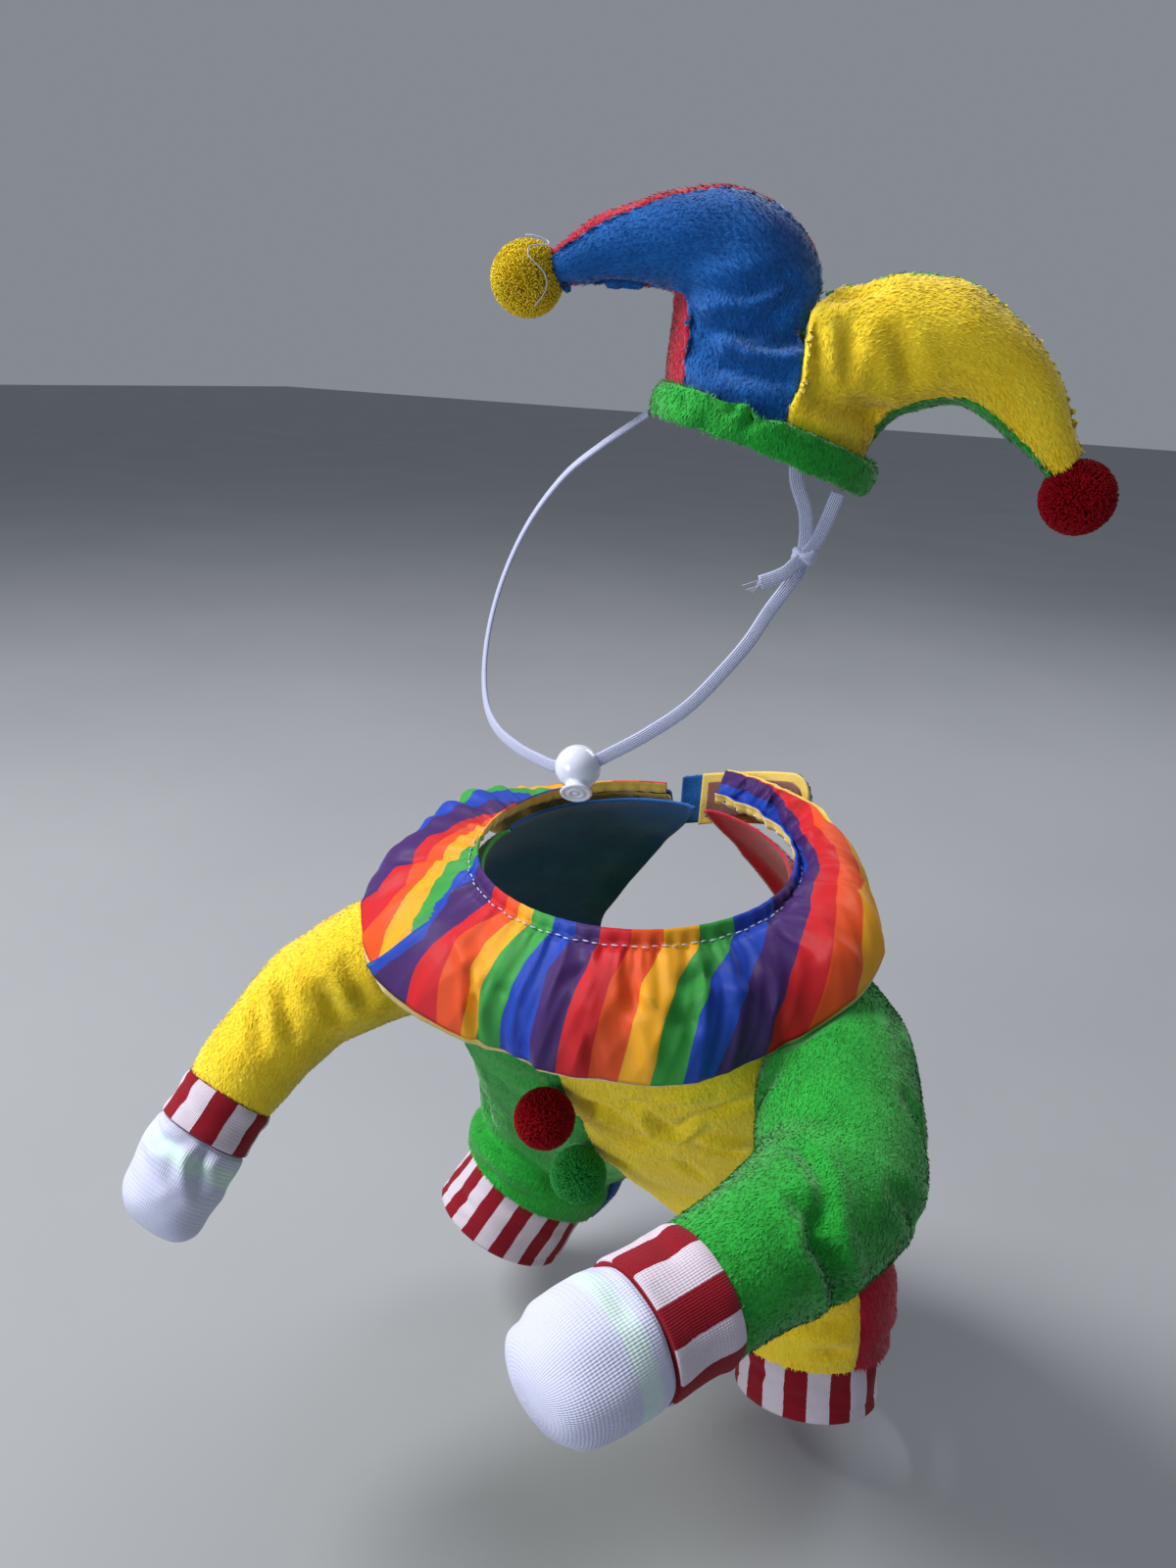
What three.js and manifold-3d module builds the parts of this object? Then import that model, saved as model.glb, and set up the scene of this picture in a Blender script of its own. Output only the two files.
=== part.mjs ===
// Jester costume for a dog: a suit that goes over the neck, chest and front legs, and a horned hat.
// Millimetres, +Z up, front towards -Y. The origin is the middle of the neck opening.
// "Right" and "left" in the names are the wearer's own: right is -X, left is +X.
import * as THREE from 'three';
import { mergeVertices } from 'three/addons/utils/BufferGeometryUtils.js';
import Module from 'manifold-3d';

const wasm = await Module();
wasm.setup();

const SEAM = 0.3; // clear gap between sewn neighbours
const PLUSH = 2.4; // pile cloth, backing and pile together
const KNIT = 1.6; // striped knit of the cuffs
const SATIN = 1.0; // ruffle strip
const VELOUR = 1.6; // strip under the ruffle

const cloth = {
  green: { color: 0x2f9a3c, roughness: 0.9, metalness: 0 },
  yellow: { color: 0xf2c81e, roughness: 0.9, metalness: 0 },
  blue: { color: 0x1f57a8, roughness: 0.9, metalness: 0 },
  red: { color: 0xb3122e, roughness: 0.9, metalness: 0 },
  stripedKnit: { color: 0xd8a0a0, roughness: 0.85, metalness: 0 },
  whiteKnit: { color: 0xe8ebf5, roughness: 0.85, metalness: 0 },
  rainbowSatin: { color: 0xc8402a, roughness: 0.5, metalness: 0 },
  velour: { color: 0xd9b63a, roughness: 0.95, metalness: 0 },
  fastener: { color: 0x9a6a5c, roughness: 0.95, metalness: 0 },
  elastic: { color: 0xeef0f6, roughness: 0.7, metalness: 0 },
  bead: { color: 0xf4f5fb, roughness: 0.2, metalness: 0 },
};

const costume = new THREE.Group();
costume.name = 'jester_costume';

function addPiece(name, geometry, finish) {
  geometry.computeVertexNormals();
  const mesh = new THREE.Mesh(geometry, new THREE.MeshStandardMaterial(cloth[finish]));
  mesh.name = name;
  costume.add(mesh);
  return mesh;
}

// ---------------------------------------------------------------- surfaces and walls

const point = (x, y, z) => new THREE.Vector3(x, y, z);
const turn = (degrees) => THREE.MathUtils.degToRad(degrees);

function smoothRow(rows, t) {
  // Row values between the rows of a table, on a smooth curve through them (t runs 0 to 1).
  const last = rows.length - 1;
  const place = Math.min(Math.max(t, 0), 1) * last;
  const i = Math.min(Math.floor(place), last - 1);
  const f = place - i;
  const mixed = {};
  for (const key of Object.keys(rows[0])) {
    const p0 = rows[Math.max(i - 1, 0)][key];
    const p1 = rows[i][key];
    const p2 = rows[i + 1][key];
    const p3 = rows[Math.min(i + 2, last)][key];
    const slopeIn = (p2 - p0) / 2;
    const slopeOut = (p3 - p1) / 2;
    const f2 = f * f;
    const f3 = f2 * f;
    mixed[key] =
      p1 * (2 * f3 - 3 * f2 + 1) + slopeIn * (f3 - 2 * f2 + f) + p2 * (3 * f2 - 2 * f3) + slopeOut * (f3 - f2);
  }
  return mixed;
}

function table(names, ...rows) {
  return rows.map((row) => Object.fromEntries(names.map((name, i) => [name, row[i]])));
}

function gridNormals(grid, closed) {
  const rows = grid.length;
  const columns = grid[0].length;
  return grid.map((row, i) =>
    row.map((_, j) => {
      const left = closed ? row[(j + columns - 1) % columns] : row[Math.max(j - 1, 0)];
      const right = closed ? row[(j + 1) % columns] : row[Math.min(j + 1, columns - 1)];
      const up = grid[Math.max(i - 1, 0)][j];
      const down = grid[Math.min(i + 1, rows - 1)][j];
      return right.clone().sub(left).cross(down.clone().sub(up)).normalize();
    }),
  );
}

function movedGrid(grid, distance, closed = false) {
  const normals = gridNormals(grid, closed);
  return grid.map((row, i) => row.map((p, j) => p.clone().addScaledVector(normals[i][j], distance)));
}

function geometryFrom(points, faces) {
  const geometry = new THREE.BufferGeometry();
  geometry.setAttribute('position', new THREE.Float32BufferAttribute(points.flatMap((p) => p.toArray()), 3));
  let volume = 0;
  for (let i = 0; i < faces.length; i += 3) {
    const [a, b, c] = [points[faces[i]], points[faces[i + 1]], points[faces[i + 2]]];
    volume += a.dot(b.clone().cross(c));
  }
  const index = volume < 0 ? faces.map((_, i) => faces[i - (i % 3) + (2 - (i % 3))]) : faces;
  geometry.setIndex(index);
  return geometry;
}

function wallBetween(outer, inner, closed = false) {
  // One closed wall from two like grids: both faces, both end rims and, on an open panel, both side rims.
  const rows = outer.length;
  const columns = outer[0].length;
  const points = [...outer.flat(), ...inner.flat()];
  const half = rows * columns;
  const faces = [];
  const quad = (a, b, c, d) => faces.push(a, b, c, a, c, d);
  const at = (side, i, j) => side * half + i * columns + (j % columns);
  const across = closed ? columns : columns - 1;
  for (let j = 0; j < across; j += 1) {
    for (let i = 0; i < rows - 1; i += 1) {
      quad(at(0, i, j), at(0, i, j + 1), at(0, i + 1, j + 1), at(0, i + 1, j));
      quad(at(1, i, j + 1), at(1, i, j), at(1, i + 1, j), at(1, i + 1, j + 1));
    }
    quad(at(1, 0, j), at(1, 0, j + 1), at(0, 0, j + 1), at(0, 0, j));
    quad(at(0, rows - 1, j), at(0, rows - 1, j + 1), at(1, rows - 1, j + 1), at(1, rows - 1, j));
  }
  if (!closed) {
    const end = columns - 1;
    for (let i = 0; i < rows - 1; i += 1) {
      quad(at(1, i, 0), at(0, i, 0), at(0, i + 1, 0), at(1, i + 1, 0));
      quad(at(0, i, end), at(1, i, end), at(1, i + 1, end), at(0, i + 1, end));
    }
  }
  return geometryFrom(points, faces);
}

function wallFromGrid(grid, thickness, closed = false) {
  return wallBetween(grid, movedGrid(grid, thickness, closed), closed);
}

function stuffedFromRings(rings) {
  // A closed solid through rings of points, with a low point closing each end.
  const columns = rings[0].length;
  const points = rings.flat();
  const faces = [];
  for (let i = 0; i < rings.length - 1; i += 1) {
    for (let j = 0; j < columns; j += 1) {
      const k = (j + 1) % columns;
      const a = i * columns;
      const b = a + columns;
      faces.push(a + j, a + k, b + k, a + j, b + k, b + j);
    }
  }
  const middle = (ring) => ring.reduce((sum, p) => sum.add(p), point(0, 0, 0)).divideScalar(ring.length);
  const first = points.push(middle(rings[0])) - 1;
  const last = points.push(middle(rings[rings.length - 1])) - 1;
  const end = (rings.length - 1) * columns;
  for (let j = 0; j < columns; j += 1) {
    const k = (j + 1) % columns;
    faces.push(first, k, j, last, end + j, end + k);
  }
  return geometryFrom(points, faces);
}

// ---------------------------------------------------------------- cutting one solid by another

function toSolid(geometry) {
  const bare = geometry.clone();
  bare.deleteAttribute('normal');
  bare.deleteAttribute('uv');
  const merged = mergeVertices(bare, 1e-4);
  return new wasm.Manifold(
    new wasm.Mesh({
      numProp: 3,
      vertProperties: new Float32Array(merged.attributes.position.array),
      triVerts: new Uint32Array(merged.index.array),
    }),
  );
}

function fromSolid(solid) {
  const mesh = solid.getMesh();
  const geometry = new THREE.BufferGeometry();
  geometry.setAttribute('position', new THREE.Float32BufferAttribute(mesh.vertProperties, 3));
  geometry.setIndex(Array.from(mesh.triVerts));
  return geometry;
}

function cutAway(geometry, ...cutters) {
  let solid = toSolid(geometry);
  for (const cutter of cutters) {
    solid = solid.subtract(toSolid(cutter));
  }
  const largest = solid.decompose().sort((a, b) => b.volume() - a.volume())[0];
  return fromSolid(largest);
}

// ---------------------------------------------------------------- the suit's body and trouser legs

// Sections from the neck down to the crotch, for the left half (the right half is its mirror image).
// out, back, up: middle of the section; wide: half width; fore, aft: half depth in front and behind;
// pitch, roll: how far the section's plane leans, in degrees; open: the back panel's inner edge,
// in degrees round from the side seam (90 is the middle of the back).
const SECTION = ['out', 'back', 'up', 'wide', 'fore', 'aft', 'pitch', 'roll', 'open'];
const TRUNK = table(
  SECTION,
  [0, 0, -3, 70, 70, 70, 4.2, 0, 88],
  [0, 4, -14, 82, 77, 74, 4, 0, 83],
  [1, 14, -36, 97, 86, 80, 2, 0, 72],
  [2, 30, -66, 108, 99, 84, 0, 0, 60],
  [4, 52, -98, 114, 109, 82, -2, 0, 50],
  [8, 72, -130, 117, 112, 76, -4, 0, 52],
  [16, 90, -165, 114, 113, 68, -7, -2, 72],
  [36, 100, -196, 96, 106, 62, -12, -4, 112],
);
// The same columns from the crotch to the ankle. Each leg hangs in its own folds.
const LEG = {
  left: table(
    SECTION,
    [59, 96, -228, 70, 80, 56, -15, -6, 156],
    [79, 86, -256, 52, 58, 50, -18, -8, 180],
    [86, 78, -278, 49, 53, 48, -18, -10, 180],
    [90, 73, -294, 44, 46, 44, -18, -10, 180],
  ),
  right: table(
    SECTION,
    [62, 97, -220, 74, 80, 56, -17, -8, 156],
    [84, 90, -242, 53, 56, 50, -20, -15, 180],
    [91, 83, -259, 50, 51, 48, -22, -20, 180],
    [95, 77, -273, 45, 46, 45, -22, -22, 180],
  ),
};
const SIDES = { right: -1, left: 1 };
const SECTION_COLUMNS = 10; // points across a panel
const BODY_ROWS = 25; // points down a panel

// Creases that lie across the trousers. down: place on the way down, 0 to 1; depth: how far in;
// reach: half its height on the same scale; middle, spread: its place and half width, in degrees.
const CREASE = ['down', 'depth', 'reach', 'middle', 'spread'];
const CREASES = {
  left: table(
    CREASE,
    [0.785, 7.5, 0.026, 95, 95],
    [0.785, 5, 0.025, -60, 80],
    [0.6, 3, 0.03, 60, 40],
    [0.66, 3, 0.03, -60, 40],
  ),
  right: table(
    CREASE,
    [0.868, 7.5, 0.028, 95, 95],
    [0.86, 5, 0.027, -60, 80],
    [0.68, 3, 0.03, 60, 40],
    [0.66, 3, 0.03, -60, 40],
  ),
};

function creaseDepth(word, down, angle) {
  let depth = 0;
  for (const crease of CREASES[word]) {
    const along = Math.exp(-(((down - crease.down) / crease.reach) ** 2));
    const round = Math.exp(-(((angle - crease.middle) / crease.spread) ** 2));
    depth += crease.depth * along * round;
  }
  return depth;
}

function bodySection(word, down) {
  return smoothRow([...TRUNK, ...LEG[word]], down);
}

function inSection(word, row, across, along, below = 0) {
  // A place in a section's leaning plane, or square below it.
  const [pitch, roll] = [turn(row.pitch), turn(row.roll)];
  const x = row.out + across * Math.cos(roll) - below * Math.sin(roll);
  const y = row.back + along * Math.cos(pitch) + below * Math.sin(pitch);
  const z = row.up + along * Math.sin(pitch) - across * Math.sin(roll) - below * Math.cos(roll) * Math.cos(pitch);
  return point(SIDES[word] * x, y, z);
}

function bodyPoint(word, down, angle, proud = 0) {
  // Angle 0 is the side seam, positive angles run to the front, negative ones to the back.
  const row = bodySection(word, down);
  const inset = creaseDepth(word, down, angle) - proud;
  const across = (row.wide - inset) * Math.cos(turn(angle));
  const along = -((angle > 0 ? row.fore : row.aft) - inset) * Math.sin(turn(angle));
  return inSection(word, row, across, along);
}

const INSEAM = 179.6; // the inner leg seam, short of a half turn by half the gap

function frontEdge(word, down) {
  // The front edge lies in the middle plane down to the crotch, and at the inseam below it.
  const row = bodySection(word, down);
  const share = -(row.out - SEAM / 2) / (row.wide * Math.cos(turn(row.roll)));
  return Math.min(THREE.MathUtils.radToDeg(Math.acos(Math.max(share, -1))), INSEAM);
}

function backEdge(word, down) {
  return -Math.min(bodySection(word, down).open, frontEdge(word, down));
}

function bodyInside(word, down, angle, depth) {
  // The point under the cloth's outer face, square to it and the same across a seam.
  const turnStep = 1.5;
  const downStep = 0.008;
  const round = bodyPoint(word, down, angle + turnStep).sub(bodyPoint(word, down, angle - turnStep));
  const along = bodyPoint(word, down + downStep, angle).sub(bodyPoint(word, down - downStep, angle));
  const normal = round.cross(along).normalize().multiplyScalar(-SIDES[word]);
  return bodyPoint(word, down, angle).addScaledVector(normal, depth);
}

function panelGrid(from, to, place) {
  // from(down) and to(down) give the angles of the panel's two edges, place(down, angle) its points.
  const grid = [];
  for (let i = 0; i < BODY_ROWS; i += 1) {
    const down = i / (BODY_ROWS - 1);
    const row = [];
    for (let j = 0; j < SECTION_COLUMNS; j += 1) {
      const angle = THREE.MathUtils.lerp(from(down), to(down), j / (SECTION_COLUMNS - 1));
      row.push(place(down, angle));
    }
    grid.push(row);
  }
  return grid;
}

const HALF_SIDE_GAP = 0.16; // degrees
const SIDE_SEAM = { right: 0, left: 36 }; // how far round to the front the side seam ends, in degrees

function sideSeam(word, down) {
  // The seam runs down the side and is drawn to the front on its way along the trouser leg.
  return SIDE_SEAM[word] * THREE.MathUtils.smoothstep(down, 0.5, 0.85);
}

function frontPanel(word) {
  const inner = (down, angle) => bodyInside(word, down, angle, PLUSH);
  const outer = (down, angle) => bodyPoint(word, down, angle);
  const from = (down) => sideSeam(word, down) + HALF_SIDE_GAP;
  const to = (down) => frontEdge(word, down);
  return wallBetween(panelGrid(from, to, outer), panelGrid(from, to, inner));
}

function backPanel(word) {
  const inner = (down, angle) => bodyInside(word, down, angle, PLUSH);
  const outer = (down, angle) => bodyPoint(word, down, angle);
  const from = (down) => sideSeam(word, down) - HALF_SIDE_GAP;
  const to = (down) => backEdge(word, down);
  return wallBetween(panelGrid(from, to, outer), panelGrid(from, to, inner));
}

function filledBody(word, proud) {
  // The half body as a full solid, a little proud of its cloth: it trims what is sewn on the outside.
  const rings = [];
  for (let i = 0; i < BODY_ROWS; i += 1) {
    const down = i / (BODY_ROWS - 1);
    const front = frontEdge(word, down);
    const back = backEdge(word, down);
    const ring = [];
    for (let j = 0; j <= 24; j += 1) {
      ring.push(bodyPoint(word, down, THREE.MathUtils.lerp(front, back, j / 24), proud));
    }
    rings.push(ring);
  }
  return stuffedFromRings(rings);
}

// ---------------------------------------------------------------- striped cuffs at the trouser hems

const CUFF_TUCK = 8; // how far the cuff goes up inside the trouser's roll
const CUFF = {
  left: { length: 29, radius: 39, flare: 0.5 },
  right: { length: 38, radius: 39, flare: 2 },
};
const CUFF_COLUMNS = 26;

function legCuff(word) {
  const ankle = LEG[word][3];
  const cuff = CUFF[word];
  const rows = [-CUFF_TUCK, 0, cuff.length * 0.35, cuff.length * 0.7, cuff.length];
  const grid = rows.map((down, i) => {
    const ring = [];
    for (let j = 0; j < CUFF_COLUMNS; j += 1) {
      const a = (j / CUFF_COLUMNS) * Math.PI * 2;
      const wrinkle = 0.6 * Math.sin(5 * a + i * 1.7) * (i % 2);
      const radius = cuff.radius - (i === 0 ? 2.5 : 0) + cuff.flare * (i / 4) + wrinkle;
      ring.push(inSection(word, ankle, radius * Math.cos(a), radius * Math.sin(a), down));
    }
    return ring;
  });
  return wallFromGrid(grid, KNIT, true);
}

// ---------------------------------------------------------------- stuffed arms, their cuffs and gloves

// Middle line of each arm from the shoulder to the finger tips. thick: radius across the arm;
// part: which piece the stretch belongs to (0 sleeve, 1 cuff, 2 glove).
const ARM = {
  left: table(
    ['x', 'y', 'z', 'thick', 'flat'],
    [84, 14, -62, 33, 1],
    [105, -12, -62, 33.5, 1],
    [117, -38, -70, 33.5, 1],
    [126, -64, -77, 33, 1],
    [124, -92, -76, 29.5, 1],
    [116, -119, -75, 26, 1],
    [106, -143, -77, 24, 0.97],
  ),
  right: table(
    ['x', 'y', 'z', 'thick', 'flat'],
    [-76, -14, -54, 31, 1],
    [-104, -36, -65, 31.5, 1],
    [-120, -56, -74, 29.5, 1],
    [-132, -74, -84, 27, 1],
    [-139, -89, -97, 25, 1],
    [-144, -103, -110, 23.5, 1],
    [-147, -112, -120, 22.5, 0.97],
  ),
};
const FOREARM_END = {
  left: { heading: point(-0.42, -0.9, -0.08), cuff: 27, glove: 41, droop: 0 },
  right: { heading: point(-0.12, -0.62, -0.62), cuff: 21, glove: 42, droop: 0.35 },
};
const ARM_SIDES = 14;

function ringAround(centre, heading, radius, flat = 1, lift = point(0, 0, 1)) {
  const across = heading.clone().cross(lift).normalize();
  const up = across.clone().cross(heading).normalize();
  const ring = [];
  for (let j = 0; j < ARM_SIDES; j += 1) {
    const a = (j / ARM_SIDES) * Math.PI * 2;
    const p = centre.clone().addScaledVector(across, radius * Math.cos(a));
    ring.push(p.addScaledVector(up, radius * flat * Math.sin(a)));
  }
  return ring;
}

function sleeve(word) {
  const rings = [];
  const steps = 13;
  const at = (t) => {
    const row = smoothRow(ARM[word], t);
    return { centre: point(row.x, row.y, row.z), ...row };
  };
  for (let i = 0; i <= steps; i += 1) {
    const t = i / steps;
    const here = at(t);
    const ahead = at(Math.min(t + 0.02, 1)).centre;
    const behind = at(Math.max(t - 0.02, 0)).centre;
    const heading = t === 1 ? FOREARM_END[word].heading.clone() : ahead.sub(behind);
    rings.push(ringAround(here.centre, heading.normalize(), here.thick, here.flat));
  }
  const whole = stuffedFromRings(rings);
  return cutAway(whole, filledBody(word, SEAM), collarClearance());
}

function forearmPieces(word) {
  const end = FOREARM_END[word];
  const last = ARM[word][ARM[word].length - 1];
  const heading = end.heading.clone().normalize();
  const wrist = point(last.x, last.y, last.z);
  const radius = last.thick;
  const place = (along, drop = 0) => wrist.clone().addScaledVector(heading, along).add(point(0, 0, -drop));
  const cuffRings = [
    [SEAM, radius - 0.4],
    [4, radius + 0.4],
    [end.cuff * 0.5, radius - 0.6],
    [end.cuff - 2, radius + 0.3],
    [end.cuff, radius - 0.6],
  ].map(([along, r]) => ringAround(place(along), heading, r, 0.97));
  const gloveRings = [
    [0, 0.9, 0.95],
    [0.06, 0.98, 0.95],
    [0.3, 1, 0.92],
    [0.55, 1, 0.85],
    [0.75, 0.93, 0.78],
    [0.9, 0.72, 0.72],
    [0.98, 0.36, 0.7],
  ].map(([share, wide, flat]) => {
    const along = end.cuff + SEAM + share * end.glove;
    return ringAround(place(along, end.droop * share * share * 20), heading, radius * wide, flat);
  });
  return { cuff: stuffedFromRings(cuffRings), glove: stuffedFromRings(gloveRings) };
}

// ---------------------------------------------------------------- gathered collar

// Where the hem of the ruffle lies round the neck. round: degrees from the front, positive to the left;
// out: distance from the neck's middle line; up: height; bow: how far the strip arches between.
const HEM = table(
  ['round', 'out', 'up', 'bow'],
  [-176, 94, -26, 9],
  [-145, 106, -31, 11],
  [-115, 113, -26, 13],
  [-90, 117, -14, 12],
  [-65, 123, -29, 10],
  [-45, 119, -47, 9],
  [-22, 98, -56, 9],
  [0, 90, -58, 8],
  [25, 93, -57, 8],
  [48, 95, -54, 9],
  [62, 101, -45, 10],
  [75, 110, -31, 11],
  [85, 114, -24, 13],
  [95, 114, -12, 15],
  [107, 104, 1, 13],
  [117, 94, 13, 8],
  [128, 82, 21, 3],
  [145, 78, 22, 2],
  [176, 77, 20, 1],
);
const COLLAR_EDGE_RADIUS = 71.5;
const COLLAR_EDGE_UP = 5; // top of the casing, at the sides of the neck
const CASING = 5.5; // height of the casing above its line of stitches
const GATHERS = 46; // small tucks along the line of stitches
const GATHER_HEIGHT = 1.1;
const WAVES = 10; // slow waves along the hem
const WAVE_HEIGHT = 3.2;
const UNDER_LAYER_DEPTH = 2.9; // from the ruffle's outer face to the strip under it
const CREST = { round: 110, reach: 14, extra: 1.4 }; // the strips lie further apart under the crest
const COLLAR_ENDS = { right: -164, left: 175 }; // degrees round, at the nape opening

function hemAt(round) {
  const last = HEM.length - 1;
  let i = 0;
  while (i < last - 1 && HEM[i + 1].round < round) i += 1;
  const f = (round - HEM[i].round) / (HEM[i + 1].round - HEM[i].round);
  return smoothRow(HEM, (i + f) / last);
}

function collarPoint(round, fall, sunk = 0) {
  // fall is 0 at the line of stitches and 1 at the hem.
  const hem = hemAt(round);
  const a = turn(round);
  const start = { out: COLLAR_EDGE_RADIUS + 2.2, up: COLLAR_EDGE_UP - CASING - Math.cos(a) * 5.3 };
  const arch = 4 * fall * (1 - fall) * hem.bow;
  const gather = GATHER_HEIGHT * Math.cos(a * GATHERS) * Math.exp(-5 * fall) * Math.min(1, 12 * fall + 0.35);
  const wave = WAVE_HEIGHT * Math.sin(a * WAVES + 0.8 * Math.sin(3 * a)) * fall * fall;
  const runOut = hem.out - start.out;
  const runUp = hem.up - start.up;
  const length = Math.hypot(runOut, runUp);
  const lift = arch + gather + wave - sunk;
  const out = start.out + runOut * fall - (runUp / length) * lift;
  const up = start.up + runUp * fall + (runOut / length) * lift;
  return point(out * Math.sin(a), -out * Math.cos(a), up);
}

function casingPoint(round, share, sunk = 0) {
  // share is 0 at the folded top edge and 1 at the line of stitches.
  const a = turn(round);
  const out = COLLAR_EDGE_RADIUS + 1.6 * share + 0.5 * Math.sin(share * Math.PI) - sunk;
  const up = COLLAR_EDGE_UP - CASING * share - Math.cos(a) * 5.3;
  return point(out * Math.sin(a), -out * Math.cos(a), up);
}

function underLayerDepth(round) {
  return UNDER_LAYER_DEPTH + CREST.extra * Math.exp(-(((round - CREST.round) / CREST.reach) ** 2));
}

function collarRow(columns, make) {
  const row = [];
  for (let j = 0; j < columns; j += 1) {
    row.push(make(THREE.MathUtils.lerp(COLLAR_ENDS.right, COLLAR_ENDS.left, j / (columns - 1))));
  }
  return row;
}

function collarClearance() {
  // The room that the collar takes up, so that the sleeves stop just under it.
  const columns = 57;
  const falls = [0, 0.33, 0.66, 1.06];
  const sheet = (sunk) => falls.map((fall) => collarRow(columns, (round) => collarPoint(round, fall, sunk)));
  return wallBetween(sheet(-14), sheet(UNDER_LAYER_DEPTH + VELOUR + 2 * SEAM));
}

function ruffle() {
  const columns = 111;
  const grid = [
    collarRow(columns, (round) => casingPoint(round, 0)),
    collarRow(columns, (round) => casingPoint(round, 0.9)),
  ];
  for (const fall of [0.06, 0.22, 0.45, 0.7, 1]) {
    grid.push(collarRow(columns, (round) => collarPoint(round, fall)));
  }
  return wallFromGrid(grid, SATIN);
}

function underLayer() {
  // The velour strip follows the ruffle from underneath and shows a narrow edge past its hem.
  const columns = 57;
  const grid = [0.14, 0.33, 0.66, 0.97].map((fall) =>
    collarRow(columns, (round) => collarPoint(round, fall, underLayerDepth(round))),
  );
  const shown = (round) => 1.02 + 0.03 * Math.exp(-(((round + 30) / 45) ** 2));
  grid.push(collarRow(columns, (round) => collarPoint(round, shown(round), underLayerDepth(round))));
  return wallFromGrid(grid, VELOUR);
}

// ---------------------------------------------------------------- nape tab

const TAB = { radius: 87, flare: 4, from: 192, to: 142, middle: -4, rise: 21, height: 26 };
const TAB_LAYERS = [
  ['nape_tab', 'blue', 0, 0, 0, 2],
  ['nape_tab_facing', 'velour', 11, 2 + SEAM, 0.8, 1.2],
  ['nape_tab_fastener', 'fastener', 15, 3.2 + 2 * SEAM, -3.5, 1.4],
];

function tabLayer(start, inward, margin, thickness) {
  // A strip bent round the neck, with a rounded free end. start is how far along the tab it begins;
  // inward moves it towards the neck; margin makes it wider and longer than the tab.
  const columns = 13;
  const rows = 4;
  const halfHeight = TAB.height / 2 + margin;
  const length = turn(TAB.from - TAB.to) * TAB.radius;
  const reach = length + margin - start;
  const grid = [];
  for (let i = 0; i < rows; i += 1) {
    const row = [];
    for (let j = 0; j < columns; j += 1) {
      const along = start + (j / (columns - 1)) * reach;
      const toEnd = Math.max(length + margin - along, 0);
      const round = Math.min(toEnd / halfHeight, 1);
      const half = halfHeight * Math.max(Math.sqrt(1 - (1 - round) ** 2), 0.18);
      const across = (i / (rows - 1)) * 2 - 1;
      const a = turn(TAB.from) - along / TAB.radius;
      const share = along / length;
      const out = TAB.radius + TAB.flare * share - inward;
      const up = TAB.middle + TAB.rise * share + half * across;
      row.push(point(out * Math.sin(a), -out * Math.cos(a), up));
    }
    grid.push(row);
  }
  return wallBetween(grid, grid.map((row) => row.map((p) => towardsNeck(p, thickness))));
}

function towardsNeck(p, distance) {
  const out = Math.hypot(p.x, p.y);
  return point((p.x * (out - distance)) / out, (p.y * (out - distance)) / out, p.z);
}

// ---------------------------------------------------------------- hat

// The hat is flat when it is cut: its two faces are sewn round the edge and stuffed. Its own frame has
// u along the hat towards the wearer's left, w up, and n out of its front face.
const HAT = { middle: point(44, -13, 186), turned: 21 };
const HAT_ALONG = point(Math.cos(turn(HAT.turned)), Math.sin(turn(HAT.turned)), 0);
const HAT_FRONT = point(Math.sin(turn(HAT.turned)), -Math.cos(turn(HAT.turned)), 0);

function hatPoint(u, w, n) {
  const p = HAT.middle.clone().addScaledVector(HAT_ALONG, u).addScaledVector(HAT_FRONT, n);
  p.z += w;
  return p;
}

// Sections of a horn. low and top: the two ends of the section across the face (u and w of each);
// deep: half its depth; cut: 2 where the section is round, near 1 where the other horn joins it flat;
// lowTurn, topTurn: how far the seam is drawn round to the front at each end, in degrees.
const HORN = ['lowU', 'lowW', 'topU', 'topW', 'deep', 'cut', 'lowTurn', 'topTurn'];
const RIGHT_HORN = table(
  HORN,
  [-33.5, 9, 10.9, -1, 35, 1.22, 48, 0],
  [-34.5, 18, 11.1, 9.5, 34, 1.25, 48, 0],
  [-34.5, 31, 15.3, 25, 30, 1.4, 46, 0],
  [-33.8, 41, 13.2, 36.5, 26, 1.65, 42, 0],
  [-33.5, 45, 18.5, 49, 24, 1.9, 30, 0],
  [-34, 45.9, 14.5, 63, 22.5, 2, 12, 2],
  [-35.5, 46.3, 4, 74.5, 21, 2, 4, 8],
  [-38.5, 46.8, -13.5, 81.5, 19.5, 2, 0, 20],
  [-43, 47.3, -31, 80.5, 17.5, 2, 0, 32],
  [-50, 47.6, -46, 76.8, 15, 2, 0, 40],
  [-60, 47.4, -60.5, 71.5, 12, 2, 0, 45],
  [-69, 46.6, -71, 65, 9.5, 2, 0, 46],
  [-76, 45.8, -79, 59, 7, 2, 0, 46],
);
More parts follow.
